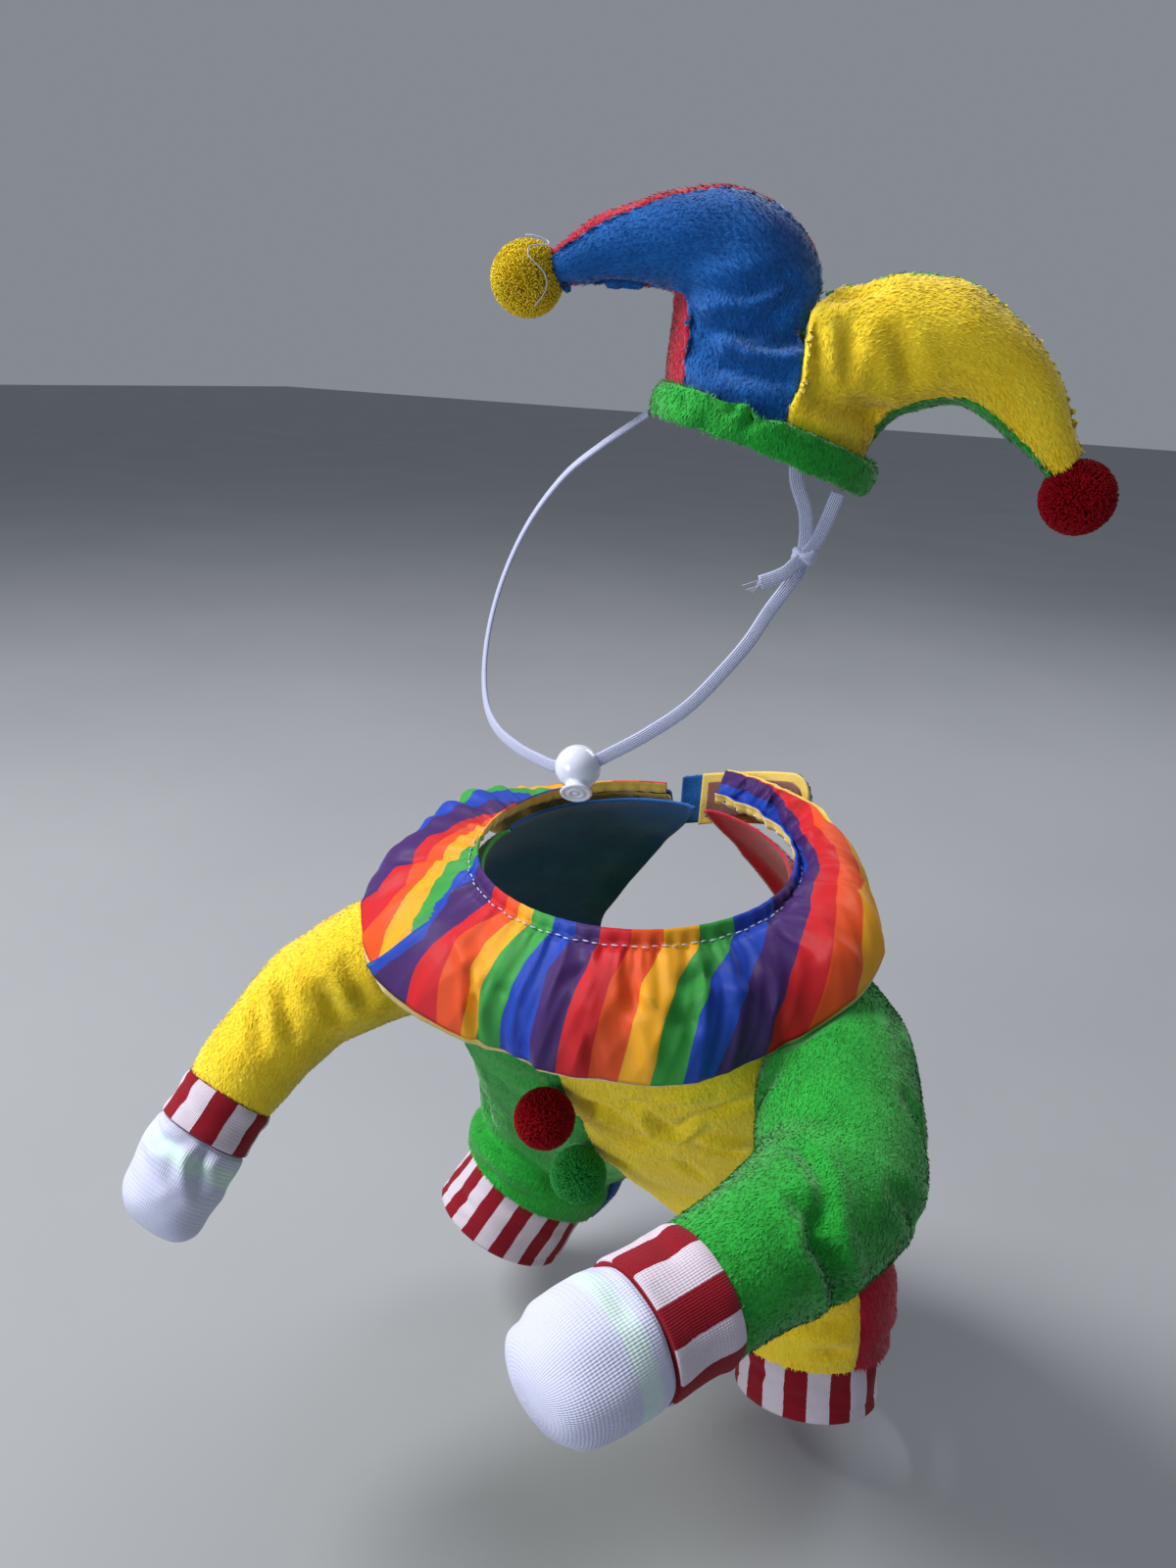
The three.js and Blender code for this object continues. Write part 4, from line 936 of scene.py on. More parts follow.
def knit_material(name, stops, period):
    """Fine knit. Its colour steps along u once in each period, or stays plain; ribs run along v."""
    material, tree, shader = start_material(name, 0.88, sheen=0.08, sheen_roughness=0.5, specular=0.08)
    round_it, along, uv = cloth_places(tree)
    fuzz = noise(tree, 900, 3, uv)
    shift = sum_of(tree, "MULTIPLY_ADD", fuzz, 0.03, 0.985)
    pairs = sum_of(tree, "ADD", sum_of(tree, "DIVIDE", round_it, period * MM), shift)
    share = sum_of(tree, "FRACT", pairs)
    stripes = colour_steps(tree, share, stops, "CONSTANT")
    ribs = sum_of(tree, "MULTIPLY", waves(tree, round_it, 1.1), 0.6)
    height = sum_of(tree, "MULTIPLY_ADD", waves(tree, along, 0.9), 0.5, ribs)
    height = sum_of(tree, "MULTIPLY_ADD", fuzz, 0.8, height)
    worn = mixed_colour(tree, sum_of(tree, "MULTIPLY", fuzz, 0.1), stripes, (0.22, 0.14, 0.18, 1))
    dress(tree, shader, worn, raised(tree, height, 0.45, 0.3))
    return material


STRIPE_WHITE, STRIPE_RED = (0.68, 0.60, 0.70), (0.25, 0.001, 0.010)
leg_knit = knit_material("striped_knit_leg", [(0, STRIPE_WHITE), (0.5, STRIPE_RED)], LEG_STRIPES_WIDE)

# Wrinkles of the leg cuffs: half width in mm, depth, then places as degrees round and mm down.
LEG_WRINKLES = {
    "left": [
        (2.6, 1.5, (-150, 9), (-105, 12), (-60, 8)), (2.6, 1.2, (-120, 20), (-80, 17), (-40, 19)),
        (2.4, 1.0, (-90, 25), (-10, 26)), (2.8, 1.4, (20, 10), (70, 14), (110, 9)),
        (2.6, 1.2, (60, 22), (130, 19)),
    ],
    "right": [
        (2.8, 1.7, (-160, 12), (-110, 9), (-70, 12)), (3, 1.5, (-120, 21), (-70, 24), (-20, 18)),
        (2.6, 1.2, (-80, 31), (0, 29)), (2.8, 1.4, (20, 12), (70, 16), (110, 10)),
        (2.6, 1.2, (60, 26), (130, 22)),
    ],
}


def leg_cuff(word):
    """One trouser leg's tube of knit, hemmed below and tucked into the leg above."""
    length, radius, flare, stripes = LEG_CUFFS[word]
    ankle = BODY[word][-1]
    rows, columns = 34, 150
    below = np.linspace(-CUFF_TUCK, length, rows)[:, None]
    a = full_turn(columns)[None]
    share = np.clip(below / length, 0, 1)
    grown = radius + flare * share - 2.5 * np.clip(-below / CUFF_TUCK, 0, 1)
    grown = grown + 0.55 * np.sin(5 * a + 2.1 * share * 3) * np.sin(share * math.pi)
    grown = grown - 0.5 * np.exp(-(((below - length + LEG_HEM) / 0.9) ** 2))
    grid = in_section(word, ankle, grown * np.cos(a), grown * np.sin(a), below)
    normals = grid_normals(grid, True)
    centre = grid.mean(axis=(0, 1))
    normals *= np.sign(((grid - centre) * normals).sum())
    folds = []
    for half_width, depth, *places in LEG_WRINKLES[word]:
        turns = [(math.radians(round_degrees), down) for round_degrees, down in places]
        folds.append((half_width, depth, *(
            in_section(word, ankle, radius * math.cos(turn), radius * math.sin(turn), down)
            for turn, down in turns
        )))
    outer = press_folds(grid, normals, folds)
    u = np.linspace(0, stripes * LEG_STRIPES_WIDE, columns + 1)[None].repeat(rows, 0)
    v = below.repeat(columns + 1, 1)
    inner = outer - normals * KNIT_THICK
    cuff = wall_mesh(f"leg_cuff_{word}_knit", outer, inner, leg_knit, u, v, closed=True)
    settle(cuff, "striped_knit", f"leg_cuff_{word}")


leg_cuff("left")
leg_cuff("right")

# ---------------------------------------------------------------- suit: stuffed sleeves
# Each arm is a closed tube of plush stuffed with fibre and sewn to the side of the suit under the collar:
# yellow on the wearer's right and green on the left.

# The middle line of each arm from the shoulder: x, y, z, radius and how flat it is.
ARMS = {
    "left": np.array([
        (84, 14, -62, 33, 1), (105, -12, -62, 33.5, 1), (117, -38, -70, 33.5, 1), (126, -64, -77, 33, 1),
        (124, -92, -76, 29.5, 1), (116, -119, -75, 26, 1), (106, -143, -77, 24, 0.97),
    ], float),
    "right": np.array([
        (-76, -14, -54, 31, 1), (-104, -36, -65, 31.5, 1), (-120, -56, -74, 29.5, 1),
        (-132, -74, -84, 27, 1),
        (-139, -89, -97, 25, 1), (-144, -103, -110, 23.5, 1), (-147, -112, -120, 22.5, 0.97),
    ], float),
}
# Which way the forearm points at its end, the lengths of its cuff and glove, and the glove's droop.
FOREARMS = {"left": ((-0.42, -0.9, -0.08), 27, 41, 0), "right": ((-0.12, -0.62, -0.62), 21, 42, 0.35)}

# Creases of the arms: half width and depth, then places, in mm.
ARM_FOLDS = {
    "left": [
        (3.6, 3.5, (133, -110, -50), (138, -114, -54), (144, -117, -62)),
        (3.6, 2.9, (116, -89, -46), (129, -100, -47)),
        (4, 6, (128, -115, -51), (133, -116, -54), (138, -120, -59), (144, -118, -71), (148, -112, -86),
         (142, -112, -100)),
        (3.4, 2.9, (130, -101, -48), (139, -112, -54)), (4.2, 3.5, (150, -80, -60), (154, -66, -80)),
        (4.2, 3.2, (92, -100, -70), (96, -92, -92), (112, -96, -104)),
        (4.2, 3.2, (140, -40, -52), (150, -44, -74)), (4.2, 2.9, (96, -46, -54), (98, -50, -80)),
        (4.2, 3.2, (118, -64, -108), (134, -70, -106)),
    ],
    "right": [
        (3.8, 3.8, (-112, -85, -66), (-106, -82, -78)), (3.8, 3.5, (-108, -75, -57), (-97, -72, -73)),
        (3.8, 3.5, (-140, -76, -66), (-128, -92, -72), (-118, -98, -86)),
        (3.6, 2.9, (-138, -96, -76), (-130, -106, -90)), (4.2, 3.2, (-136, -48, -62), (-146, -56, -84)),
        (4.2, 3.2, (-118, -62, -104), (-132, -66, -108)), (4.2, 2.9, (-110, -30, -38), (-122, -38, -50)),
    ],
}


def unit(vector):
    vector = np.asarray(vector, float)
    return vector / np.linalg.norm(vector)


def ring_around(centre, heading, radius, flat, columns):
    """A ring of points square to a heading, its up side towards +Z."""
    across = unit(np.cross(heading, (0, 0, 1)))
    lift = unit(np.cross(across, heading))
    a = full_turn(columns)[:, None]
    return centre + across * radius * np.cos(a) + lift * radius * flat * np.sin(a)


def sleeve_skin(word):
    """The arm's whole outer surface, before it is fitted against the body."""
    rows = ARMS[word]
    rings = []
    for t in np.linspace(0, 1, 96):
        ahead, behind = smooth_rows(rows, min(t + 0.02, 1)), smooth_rows(rows, max(t - 0.02, 0))
        heading = unit(FOREARMS[word][0]) if t == 1 else unit((ahead - behind)[:3])
        here = smooth_rows(rows, t)
        rings.append(ring_around(here[:3], heading, here[3], here[4], 80))
    return np.array(rings)


def remeshed(node_name, voxel):
    """Even fine quads over a copy of a CAD node: points in mm and faces."""
    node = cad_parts[node_name]
    mesh = node.data.copy()
    mesh.transform(node.matrix_world)
    work = bpy.data.objects.new(node_name + "_work", mesh)
    bpy.context.scene.collection.objects.link(work)
    weld = work.modifiers.new("weld", "WELD")
    weld.merge_threshold = 1e-6
    even = work.modifiers.new("even", "REMESH")
    even.mode = "VOXEL"
    even.voxel_size = voxel * MM
    made = bpy.data.meshes.new_from_object(work.evaluated_get(bpy.context.evaluated_depsgraph_get()))
    bpy.data.objects.remove(work)
    points = np.empty(len(made.vertices) * 3, np.float32)
    made.vertices.foreach_get("co", points)
    faces = np.array([tuple(face.vertices) for face in made.polygons])
    return points.reshape(-1, 3).astype(float) / MM, faces


def settled(points, faces, skin, closed, reach):
    """Points moved onto a fine skin where they lie near it, smoothed elsewhere; also which lie on it, and
    the way down the skin's rows at each point."""
    rows, columns = skin.shape[:2]
    quads = grid_faces(rows, columns, closed)
    tree = BVHTree.FromPolygons([tuple(p) for p in skin.reshape(-1, 3)], quads.tolist())
    down = np.gradient(skin, axis=0).reshape(-1, 3)
    found = [tree.find_nearest(Vector(p)) for p in points]
    gap = np.array([hit[3] for hit in found])
    near = np.array([tuple(hit[0]) for hit in found])
    lies = down[quads[[hit[2] for hit in found], 0]]
    on_skin = gap < reach
    points = np.where(on_skin[:, None], near, points)
    edges = np.concatenate([faces[:, [0, 1]], faces[:, [1, 2]], faces[:, [2, 3]], faces[:, [3, 0]]])
    for _ in range(6):
        total, count = np.zeros_like(points), np.zeros(len(points))
        for a, b in ((0, 1), (1, 0)):
            np.add.at(total, edges[:, a], points[edges[:, b]])
            np.add.at(count, edges[:, a], 1)
        ease = np.where(on_skin, 0.08, 0.5)[:, None]
        points = points * (1 - ease) + ease * total / count[:, None]
    return points, on_skin, lies


def point_normals(points, faces):
    """Outward unit normals of a closed mesh of quads."""
    corners = points[faces]
    facing = np.cross(corners[:, 2] - corners[:, 0], corners[:, 3] - corners[:, 1])
    normals = np.zeros_like(points)
    for n in range(4):
        np.add.at(normals, faces[:, n], facing)
    normals /= np.maximum(np.linalg.norm(normals, axis=1, keepdims=True), 1e-9)
    volume = (corners[:, 0] * np.cross(corners[:, 1], corners[:, 2])).sum()
    volume += (corners[:, 0] * np.cross(corners[:, 2], corners[:, 3])).sum()
    return normals if volume > 0 else -normals


def lumps(points, size, height):
    """The slow unevenness of stuffed cloth, in mm."""
    x, y, z = np.moveaxis(np.asarray(points), -1, 0) / size
    slow = np.sin(x * 2.1 + 1.7 * np.sin(z * 1.3)) * np.sin(y * 1.7 + 0.6)
    return height * (slow + 0.6 * np.sin(z * 2.9 + y * 1.1))


def stuffed_plush(name, node_name, skin, closed, colour, folds, seed, voxel=1.9):
    """A stuffed piece of plush with the form of its CAD node, its pile only where it is seen."""
    points, faces = remeshed(node_name, voxel)
    points, on_skin, lies = settled(points, faces, skin, closed, 1.3)
    normals = point_normals(points, faces)
    points = points + normals * lumps(points, 11, 0.28)[:, None] * on_skin[:, None]
    points = press_folds(points, normals, folds)
    normals = point_normals(points, faces)
    backing = points - normals * np.where(on_skin, PILE_SHARE, -0.5)[:, None]
    piece = add_mesh(name, backing * MM, faces, PLUSH[colour])
    pile = grow_pile(name + "_pile", backing, faces, lies, PLUSH[colour], cover=on_skin * 1.0, seed=seed)
    settle(piece, colour + "_plush", node_name)
    settle(pile, colour + "_plush")


for word, colour, seed in (("left", "green", 21), ("right", "yellow", 22)):
    node = f"sleeve_{word}"
    stuffed_plush(node + "_stuffed", node, sleeve_skin(word), True, colour, ARM_FOLDS[word], seed)

# ---------------------------------------------------------------- suit: arm cuffs and gloves
# A short band of the striped knit joins each arm to its hand. The hand is a plain white knit mitten with
# one pale mint stripe across it, hemmed where it meets the cuff; both are stuffed with the arm.

ARM_STRIPES, ARM_STRIPES_WIDE = 6, 30  # pairs of stripes round an arm's cuff, and a pair's share of u
JOIN_GAP, GLOVE_HEM = 0.3, 4.2  # between arm, cuff and glove; from the glove's edge to its stitches
arm_knit = knit_material("striped_knit_arm", [(0, STRIPE_RED), (0.5, STRIPE_WHITE)], ARM_STRIPES_WIDE)


def mitten_material():
    """White knit with a faint mint stripe near its hem."""
    white, mint = (0.62, 0.65, 0.85), (0.62, 0.82, 0.74)
    material = knit_material("white_knit", [(0, white), (0.99, white)], ARM_STRIPES_WIDE)
    tree = material.node_tree
    shader = tree.nodes["Principled BSDF"]
    base = shader.inputs["Base Color"].links[0].from_socket
    _, along, _ = cloth_places(tree)
    black, full = (0, 0, 0), (1, 1, 1)
    edges = [(0.20, black), (0.23, full), (0.30, full), (0.33, black)]
    band = colour_steps(tree, sum_of(tree, "MULTIPLY", along, 25), edges)
    dress(tree, shader, mixed_colour(tree, sum_of(tree, "MULTIPLY", band, 0.7), base, (*mint, 1)))
    return material


mitten_knit = mitten_material()

# Rings of the arm's cuff: share of its length (the first and last in mm from the ends) and radius.
ARM_CUFF_RINGS = np.array([(0, -0.4), (0.16, 0.4), (0.5, -0.6), (0.93, 0.3), (1, -0.6)], float)
# Rings of the glove: share of its length, width and thickness on the arm's radius.
GLOVE_RINGS = {
    "left": [
        (0, 0.9, 0.95), (0.06, 0.98, 0.95), (0.3, 1, 0.92), (0.55, 1, 0.85), (0.75, 0.93, 0.78),
        (0.9, 0.72, 0.72), (0.98, 0.36, 0.7), (1, 0.05, 0.7),
    ],
    "right": [
        (0, 0.9, 0.95), (0.06, 1, 0.97), (0.3, 1.03, 0.95), (0.6, 1.02, 0.9), (0.82, 0.96, 0.86),
        (0.94, 0.74, 0.78), (0.985, 0.42, 0.7), (1, 0.05, 0.7),
    ],
}
# Creases of the gloves and cuffs: half width, depth and places, in mm or as shares along and round.
GLOVE_FOLDS = {
    "left": [
        (3, 2, (0.16, 0.12), (0.24, 0.3)), (3, 1.7, (0.5, 0.02), (0.62, 0.12)),
        (3.4, 2, (0.3, 0.62), (0.36, 0.8)),
    ],
    "right": [
        (3.2, 4, (-133.6, -137, -128.5), (-133.9, -145.6, -133.6), (-131.2, -146.4, -145.1)),
        (3, -2.4, (-139, -146, -130), (-137, -150, -141)),
        (3, 2.8, (0.2, 0.16), (0.26, 0.26), (0.2, 0.36)), (3, 2.2, (0.34, 0.2), (0.42, 0.33)),
        (3, 2, (0.1, 0.3), (0.16, 0.42)), (3.4, 2, (0.3, 0.62), (0.36, 0.8)),
    ],
}
CUFF_FOLDS = {
    "left": [
        (2.4, 1, (0.3, 0.1), (0.5, 0.25)), (2.4, 0.9, (0.7, 0.3), (0.6, 0.42)),
        (2.4, 1, (0.4, 0.6), (0.6, 0.78)),
    ],
    "right": [
        (2.4, 1.2, (0.3, 0.16), (0.6, 0.3)), (2.4, 1, (0.7, 0.05), (0.5, 0.14)),
        (2.4, 1, (0.4, 0.6), (0.6, 0.78)),
    ],
}


def ring_folds(rings, folds):
    """Folds with their places, given as shares along and round, found on the rings."""
    rows, columns = rings.shape[:2]
    return [
        (half_width, depth, *(
            place if len(place) == 3 else rings[int(place[0] * (rows - 1)), int(place[1] * columns)]
            for place in places
        ))
        for half_width, depth, *places in folds
    ]


def facing_out(points, faces, centre):
    """True where a closed shape's faces look away from its centre."""
    a, b, c = (points[[face[n] for face in faces]] - centre for n in range(3))
    return (a * np.cross(b, c)).sum() >= 0


def ring_directions(rings):
    """Rings as one array, and the directions out of their middles."""
    rings = np.array(rings)
    out = rings - rings.mean(1, keepdims=True)
    return rings, out / np.linalg.norm(out, axis=2, keepdims=True)


def ring_solid(name, rings, material, u, v):
    """A closed solid through rings of points in mm, each end closed by its middle."""
    rows, columns = rings.shape[:2]
    points = np.concatenate([rings.reshape(-1, 3), [rings[0].mean(0)], [rings[-1].mean(0)]])
    faces = [tuple(face) for face in grid_faces(rows, columns, True)] + pole_faces(rows, columns)
    corners = [tuple(pair) for pair in grid_corner_uv(u, v) * MM] + [(0, 0)] * 6 * columns
    if not facing_out(points, faces, points.mean(0)):
        faces = [face[::-1] for face in faces]
        turned_corners, at = [], 0
        for face in faces:
            turned_corners += corners[at:at + len(face)][::-1]
            at += len(face)
        corners = turned_corners
    piece = add_mesh(name, points * MM, faces, material)
    lay_uv(piece, corners)
    return piece


def forearm(word):
    """One arm's striped cuff and its mitten."""
    heading, cuff_length, glove_length, droop = FOREARMS[word]
    heading = unit(heading)
    wrist, radius = ARMS[word][-1][:3], ARMS[word][-1][3]
    columns = 110
    rings = []
    for t in np.linspace(0, 1, 34):
        share, grown = smooth_rows(ARM_CUFF_RINGS, t)
        along = JOIN_GAP + share * (cuff_length - JOIN_GAP)
        rings.append(ring_around(wrist + heading * along, heading, radius + grown, 0.97, columns))
    rings, out = ring_directions(rings)
    stuffed = rings + out * lumps(rings, 7, 0.25)[..., None]
    rings = press_folds(stuffed, out, ring_folds(rings, CUFF_FOLDS[word]))
    u = np.linspace(0, ARM_STRIPES * ARM_STRIPES_WIDE, columns + 1)[None].repeat(len(rings), 0)
    v = np.linspace(0, cuff_length, len(rings))[:, None].repeat(columns + 1, 1)
    cuff = ring_solid(f"arm_cuff_{word}_knit", rings, arm_knit, u, v)
    rings = []
    for t in np.linspace(0, 1, 70):
        share, wide, flat = smooth_rows(np.array(GLOVE_RINGS[word]), t)
        place = wrist + heading * (cuff_length + JOIN_GAP + share * glove_length)
        place = place - np.array((0, 0, droop * share * share * 20))
        rings.append(ring_around(place, heading, radius * wide, flat, columns))
    rings, out = ring_directions(rings)
    v = np.linspace(0, glove_length, len(rings))[:, None].repeat(columns + 1, 1)
    hem = -0.6 * np.exp(-(((v[:, :-1] - GLOVE_HEM) / 0.5) ** 2))
    stuffed = rings + out * (hem + lumps(rings, 9, 0.3))[..., None]
    rings = press_folds(stuffed, out, ring_folds(rings, GLOVE_FOLDS[word]))
    u = np.linspace(0, 2 * math.pi * radius, columns + 1)[None].repeat(len(rings), 0)
    glove = ring_solid(f"glove_{word}_knit", rings, mitten_knit, u, v)
    for piece, slot, node in (
        (cuff, "striped_knit", f"arm_cuff_{word}"), (glove, "white_knit", f"glove_{word}"),
    ):
        settle(piece, slot, node)


forearm("left")
forearm("right")

# ---------------------------------------------------------------- collar: ruffle and under-layer
# A strip of rainbow satin gathered on a line of stitches, with a narrow casing above it that stands round
# the neck. A strip of velour lies under it, shows at the hem and lines the casing. It opens at the nape.

# Where the hem lies. round: degrees from the front, positive to the left; out: from the neck's middle
# line; up: height; bow: how far the strip arches between.
HEM = np.array([
    (-176, 94, -26, 9), (-145, 106, -31, 11), (-115, 113, -26, 13), (-90, 117, -14, 12),
    (-65, 123, -29, 10), (-45, 119, -47, 9), (-22, 98, -56, 9), (0, 90, -58, 8), (25, 93, -57, 8),
    (48, 95, -54, 9), (62, 101, -45, 10), (75, 110, -31, 11), (85, 114, -24, 13), (95, 114, -12, 15),
    (107, 104, 1, 13), (117, 94, 13, 8), (128, 82, 21, 3), (145, 78, 22, 2), (176, 77, 20, 1),
], float)
EDGE_RADIUS, EDGE_UP, CASING_HIGH = 71.5, 5, 5.5
GATHERS, GATHER_HEIGHT, WAVES, WAVE_HEIGHT = 46, 1.1, 10, 3.2
SATIN_THICK, VELOUR_THICK, UNDER_DEPTH = 1.0, 1.6, 2.9
COLLAR_ENDS = (-164, 175)
# Where one pleat of the ruffle laps over the next: fall, then degrees round; and how far it is lifted.
FOLD_LINE = [(0, -48), (0.05, -45.5), (0.2, -38), (0.32, -35), (0.6, -38.5), (0.84, -42), (1, -46)]
FOLD_ROUND, FOLD_LIFT = -48, 2.6

# Where the stripes' borders run over the skirt: how many stripes lie before the border, then its degrees
# round at falls of 0, 0.25, 0.5, 0.75 and 1. Six stripes repeat: blue, purple, red, orange, amber, green.
# One table is for the cloth in front of the lapped pleat, the other for the cloth behind it.
STRIPE_FALLS = [0, 0.25, 0.5, 0.75, 1]
STRIPES_FRONT = [
    (-6, -48, -36.5, -37, -40.5, -46), (-5, -44, -35.9, -34.2, -38.5, -43),
    (-4, -27.5, -28, -30.8, -32.7, -33.2), (-3, -19, -24, -24.4, -23.9, -23.5),
    (-2, -13, -17.2, -17.5, -16.2, -17.6), (-1, -7, -11.2, -12.9, -12.9, -14.2),
    (0, 1.5, -3, -5, -6.9, -8.4), (1, 9, 4.2, 4.1, 3.3, 2.9), (2, 17, 13.8, 11.9, 10.9, 10),
    (3, 27, 22.1, 20.5, 19.4, 18.3), (4, 37, 30.5, 28.9, 27.4, 25.8), (5, 48.5, 39.8, 36, 34.5, 33.5),
    (6, 61, 49.6, 44.5, 42.4, 41.2), (7, 79.5, 61.8, 55.2, 51.8, 49), (8, 110, 79.6, 67.4, 63.6, 61.5),
]
STRIPES_BEHIND = [
    *((-12 - k, *(-120 - 11 * k + bend * (36 + 1.3 * k) for bend in (0, 0.45, 0.72, 0.88, 1)))
      for k in range(6, -1, -1)),
    (-11, -108, -90, -80, -72, -70), (-10, -97, -74, -62.5, -57.5, -60),
    (-9, -90, -67, -53.3, -51.4, -53.7),
    (-8, -88, -55.5, -49, -47.5, -45), (-7, -67, -48, -40.5, -34, -30), (-6, -52, -41, -36.5, -40, -46),
]
# On the wearer's left the stripes run round the neck: degrees round, then the stripes before each fall.
STRIPES_LEFT = [
    (61, 6, 6.93, 7.47, 7.78, 7.96), (70, 6.75, 7.48, 8.15, 8.6, 9), (80, 7, 8.03, 9, 9.54, 9.97),
    (90, 7.2, 8.52, 9.6, 10.33, 10.9), (95, 7.2, 8.6, 9.9, 10.53, 11.1),
    (107, 6.4, 8.14, 9.03, 9.76, 10.6), (128, 6.2, 7.3, 8.1, 8.8, 9.5), (150, 6.1, 6.45, 6.9, 7.5, 8.1),
    (176, 6, 6.3, 6.8, 7.4, 8),
]
STRIPE_COLOURS = [
    (0.001, 0.045, 0.44), (0.045, 0.006, 0.125), (0.60, 0.001, 0.008), (0.78, 0.072, 0.002),
    (0.86, 0.38, 0.004), (0.030, 0.32, 0.045),
]


def hem_rows(round_degrees):
    """The hem's out, up and bow at these angles, on a smooth curve through the table."""
    place = np.interp(round_degrees, HEM[:, 0], np.arange(len(HEM))) / (len(HEM) - 1)
    return np.array([smooth_rows(HEM, t) for t in place.ravel()]).reshape(*place.shape, 4)[..., 1:]


def round_neck(out, a, up):
    """Points this far out from the neck's middle line, round from the front and up."""
    return np.stack([out * np.sin(a), -out * np.cos(a), up], -1)


def collar_points(round_degrees, fall, sunk=0.0, extra=0.0):
    """Points of the skirt; fall is 0 at the line of stitches and 1 at the hem."""
    hem_out, hem_up, bow = np.moveaxis(hem_rows(round_degrees), -1, 0)
    a = np.radians(round_degrees)
    start_out, start_up = EDGE_RADIUS + 2.2, EDGE_UP - CASING_HIGH - np.cos(a) * 5.3
    gather = GATHER_HEIGHT * np.cos(a * GATHERS) * np.exp(-5 * fall) * np.minimum(1, 12 * fall + 0.35)
    wave = WAVE_HEIGHT * np.sin(a * WAVES + 0.8 * np.sin(3 * a)) * fall * fall
    run_out, run_up = hem_out - start_out, hem_up - start_up
    length = np.hypot(run_out, run_up)
    lift = 4 * fall * (1 - fall) * bow + gather + wave - sunk + extra
    out = start_out + run_out * fall - run_up / length * lift
    up = start_up + run_up * fall + run_out / length * lift
    return round_neck(out, a, up)


def casing_points(round_degrees, share, extra=0.0):
    """Points of the casing; share is 0 at its folded top edge and 1 at the line of stitches."""
    a = np.radians(round_degrees)
    out = EDGE_RADIUS + 1.6 * share + 0.5 * np.sin(share * math.pi) + extra
    up = EDGE_UP - CASING_HIGH * share - np.cos(a) * 5.3
    return round_neck(out, a, up)


def stripe_place(round_degrees, fall, behind):
    """How many stripes lie before each point of the ruffle."""
    place = np.empty_like(round_degrees)
    for i in range(place.shape[0]):
        for rows, mask in ((STRIPES_FRONT, ~behind[i]), (STRIPES_BEHIND, behind[i])):
            table = np.array(rows, float)
            at = [np.interp(fall[i, 0], STRIPE_FALLS, row) for row in table[:, 1:]]
            place[i, mask] = np.interp(round_degrees[i, mask], np.maximum.accumulate(at), table[:, 0])
        side = np.array(STRIPES_LEFT)
        down = [np.interp(fall[i, 0], STRIPE_FALLS, row) for row in side[:, 1:]]
        left = np.interp(round_degrees[i], side[:, 0], down)
        place[i] = np.where(round_degrees[i] > STRIPES_LEFT[0][0], left, place[i])
    return place


def satin_material():
    """Striped satin: a fine slanting twill, softly shining with a faint painted sheen along the twill, each
    stripe crisp at its border.
    """
    material, tree, shader = start_material(
        "rainbow_satin", 0.45, sheen=0.0, sheen_roughness=0.35, specular=0.27,
    )
    stripe = add_node(tree, "ShaderNodeAttribute", {"attribute_name": "stripe"})
    repeats = sum_of(tree, "DIVIDE", stripe.outputs["Fac"], len(STRIPE_COLOURS))
    share = sum_of(tree, "FRACT", sum_of(tree, "ADD", repeats, 10))
    stops = [(k / len(STRIPE_COLOURS), colour) for k, colour in enumerate(STRIPE_COLOURS)]
    stripes = colour_steps(tree, share, stops, "CONSTANT")
    round_it, along, _ = cloth_places(tree)
    twill = waves(tree, sum_of(tree, "MULTIPLY_ADD", along, 0.8, round_it), 0.7)
    height = sum_of(tree, "MULTIPLY_ADD", noise(tree, 190, 3), 2.2, sum_of(tree, "MULTIPLY", twill, 0.35))
    # Painted sheen: a faint near-white wash over the stripes, paler on the twill's raised lines.
    painted_sheen = sum_of(tree, "MULTIPLY_ADD", twill, 0.012, 0.014)
    tint = mixed_colour(tree, painted_sheen, stripes, (0.9, 0.85, 0.9, 1))
    dress(tree, shader, tint, raised(tree, height, 0.35, 0.4))
    return material


def velour_material(name, colour, deep):
    """Velour or felted tape: a close, brushed nap."""
    material, tree, shader = start_material(name, 0.9, sheen=0.6, sheen_roughness=0.4, specular=0.1)
    nap = noise(tree, 1100, 3)
    share = sum_of(tree, "MULTIPLY", sum_of(tree, "ADD", nap, noise(tree, 90, 3)), 0.5)
    dress(tree, shader, mixed_colour(tree, share, (*deep, 1), (*colour, 1)), raised(tree, nap, 0.6, 0.5))
    return material


velour = velour_material("yellow_velour", (0.93, 0.72, 0.20), (0.62, 0.42, 0.07))
satin = satin_material()

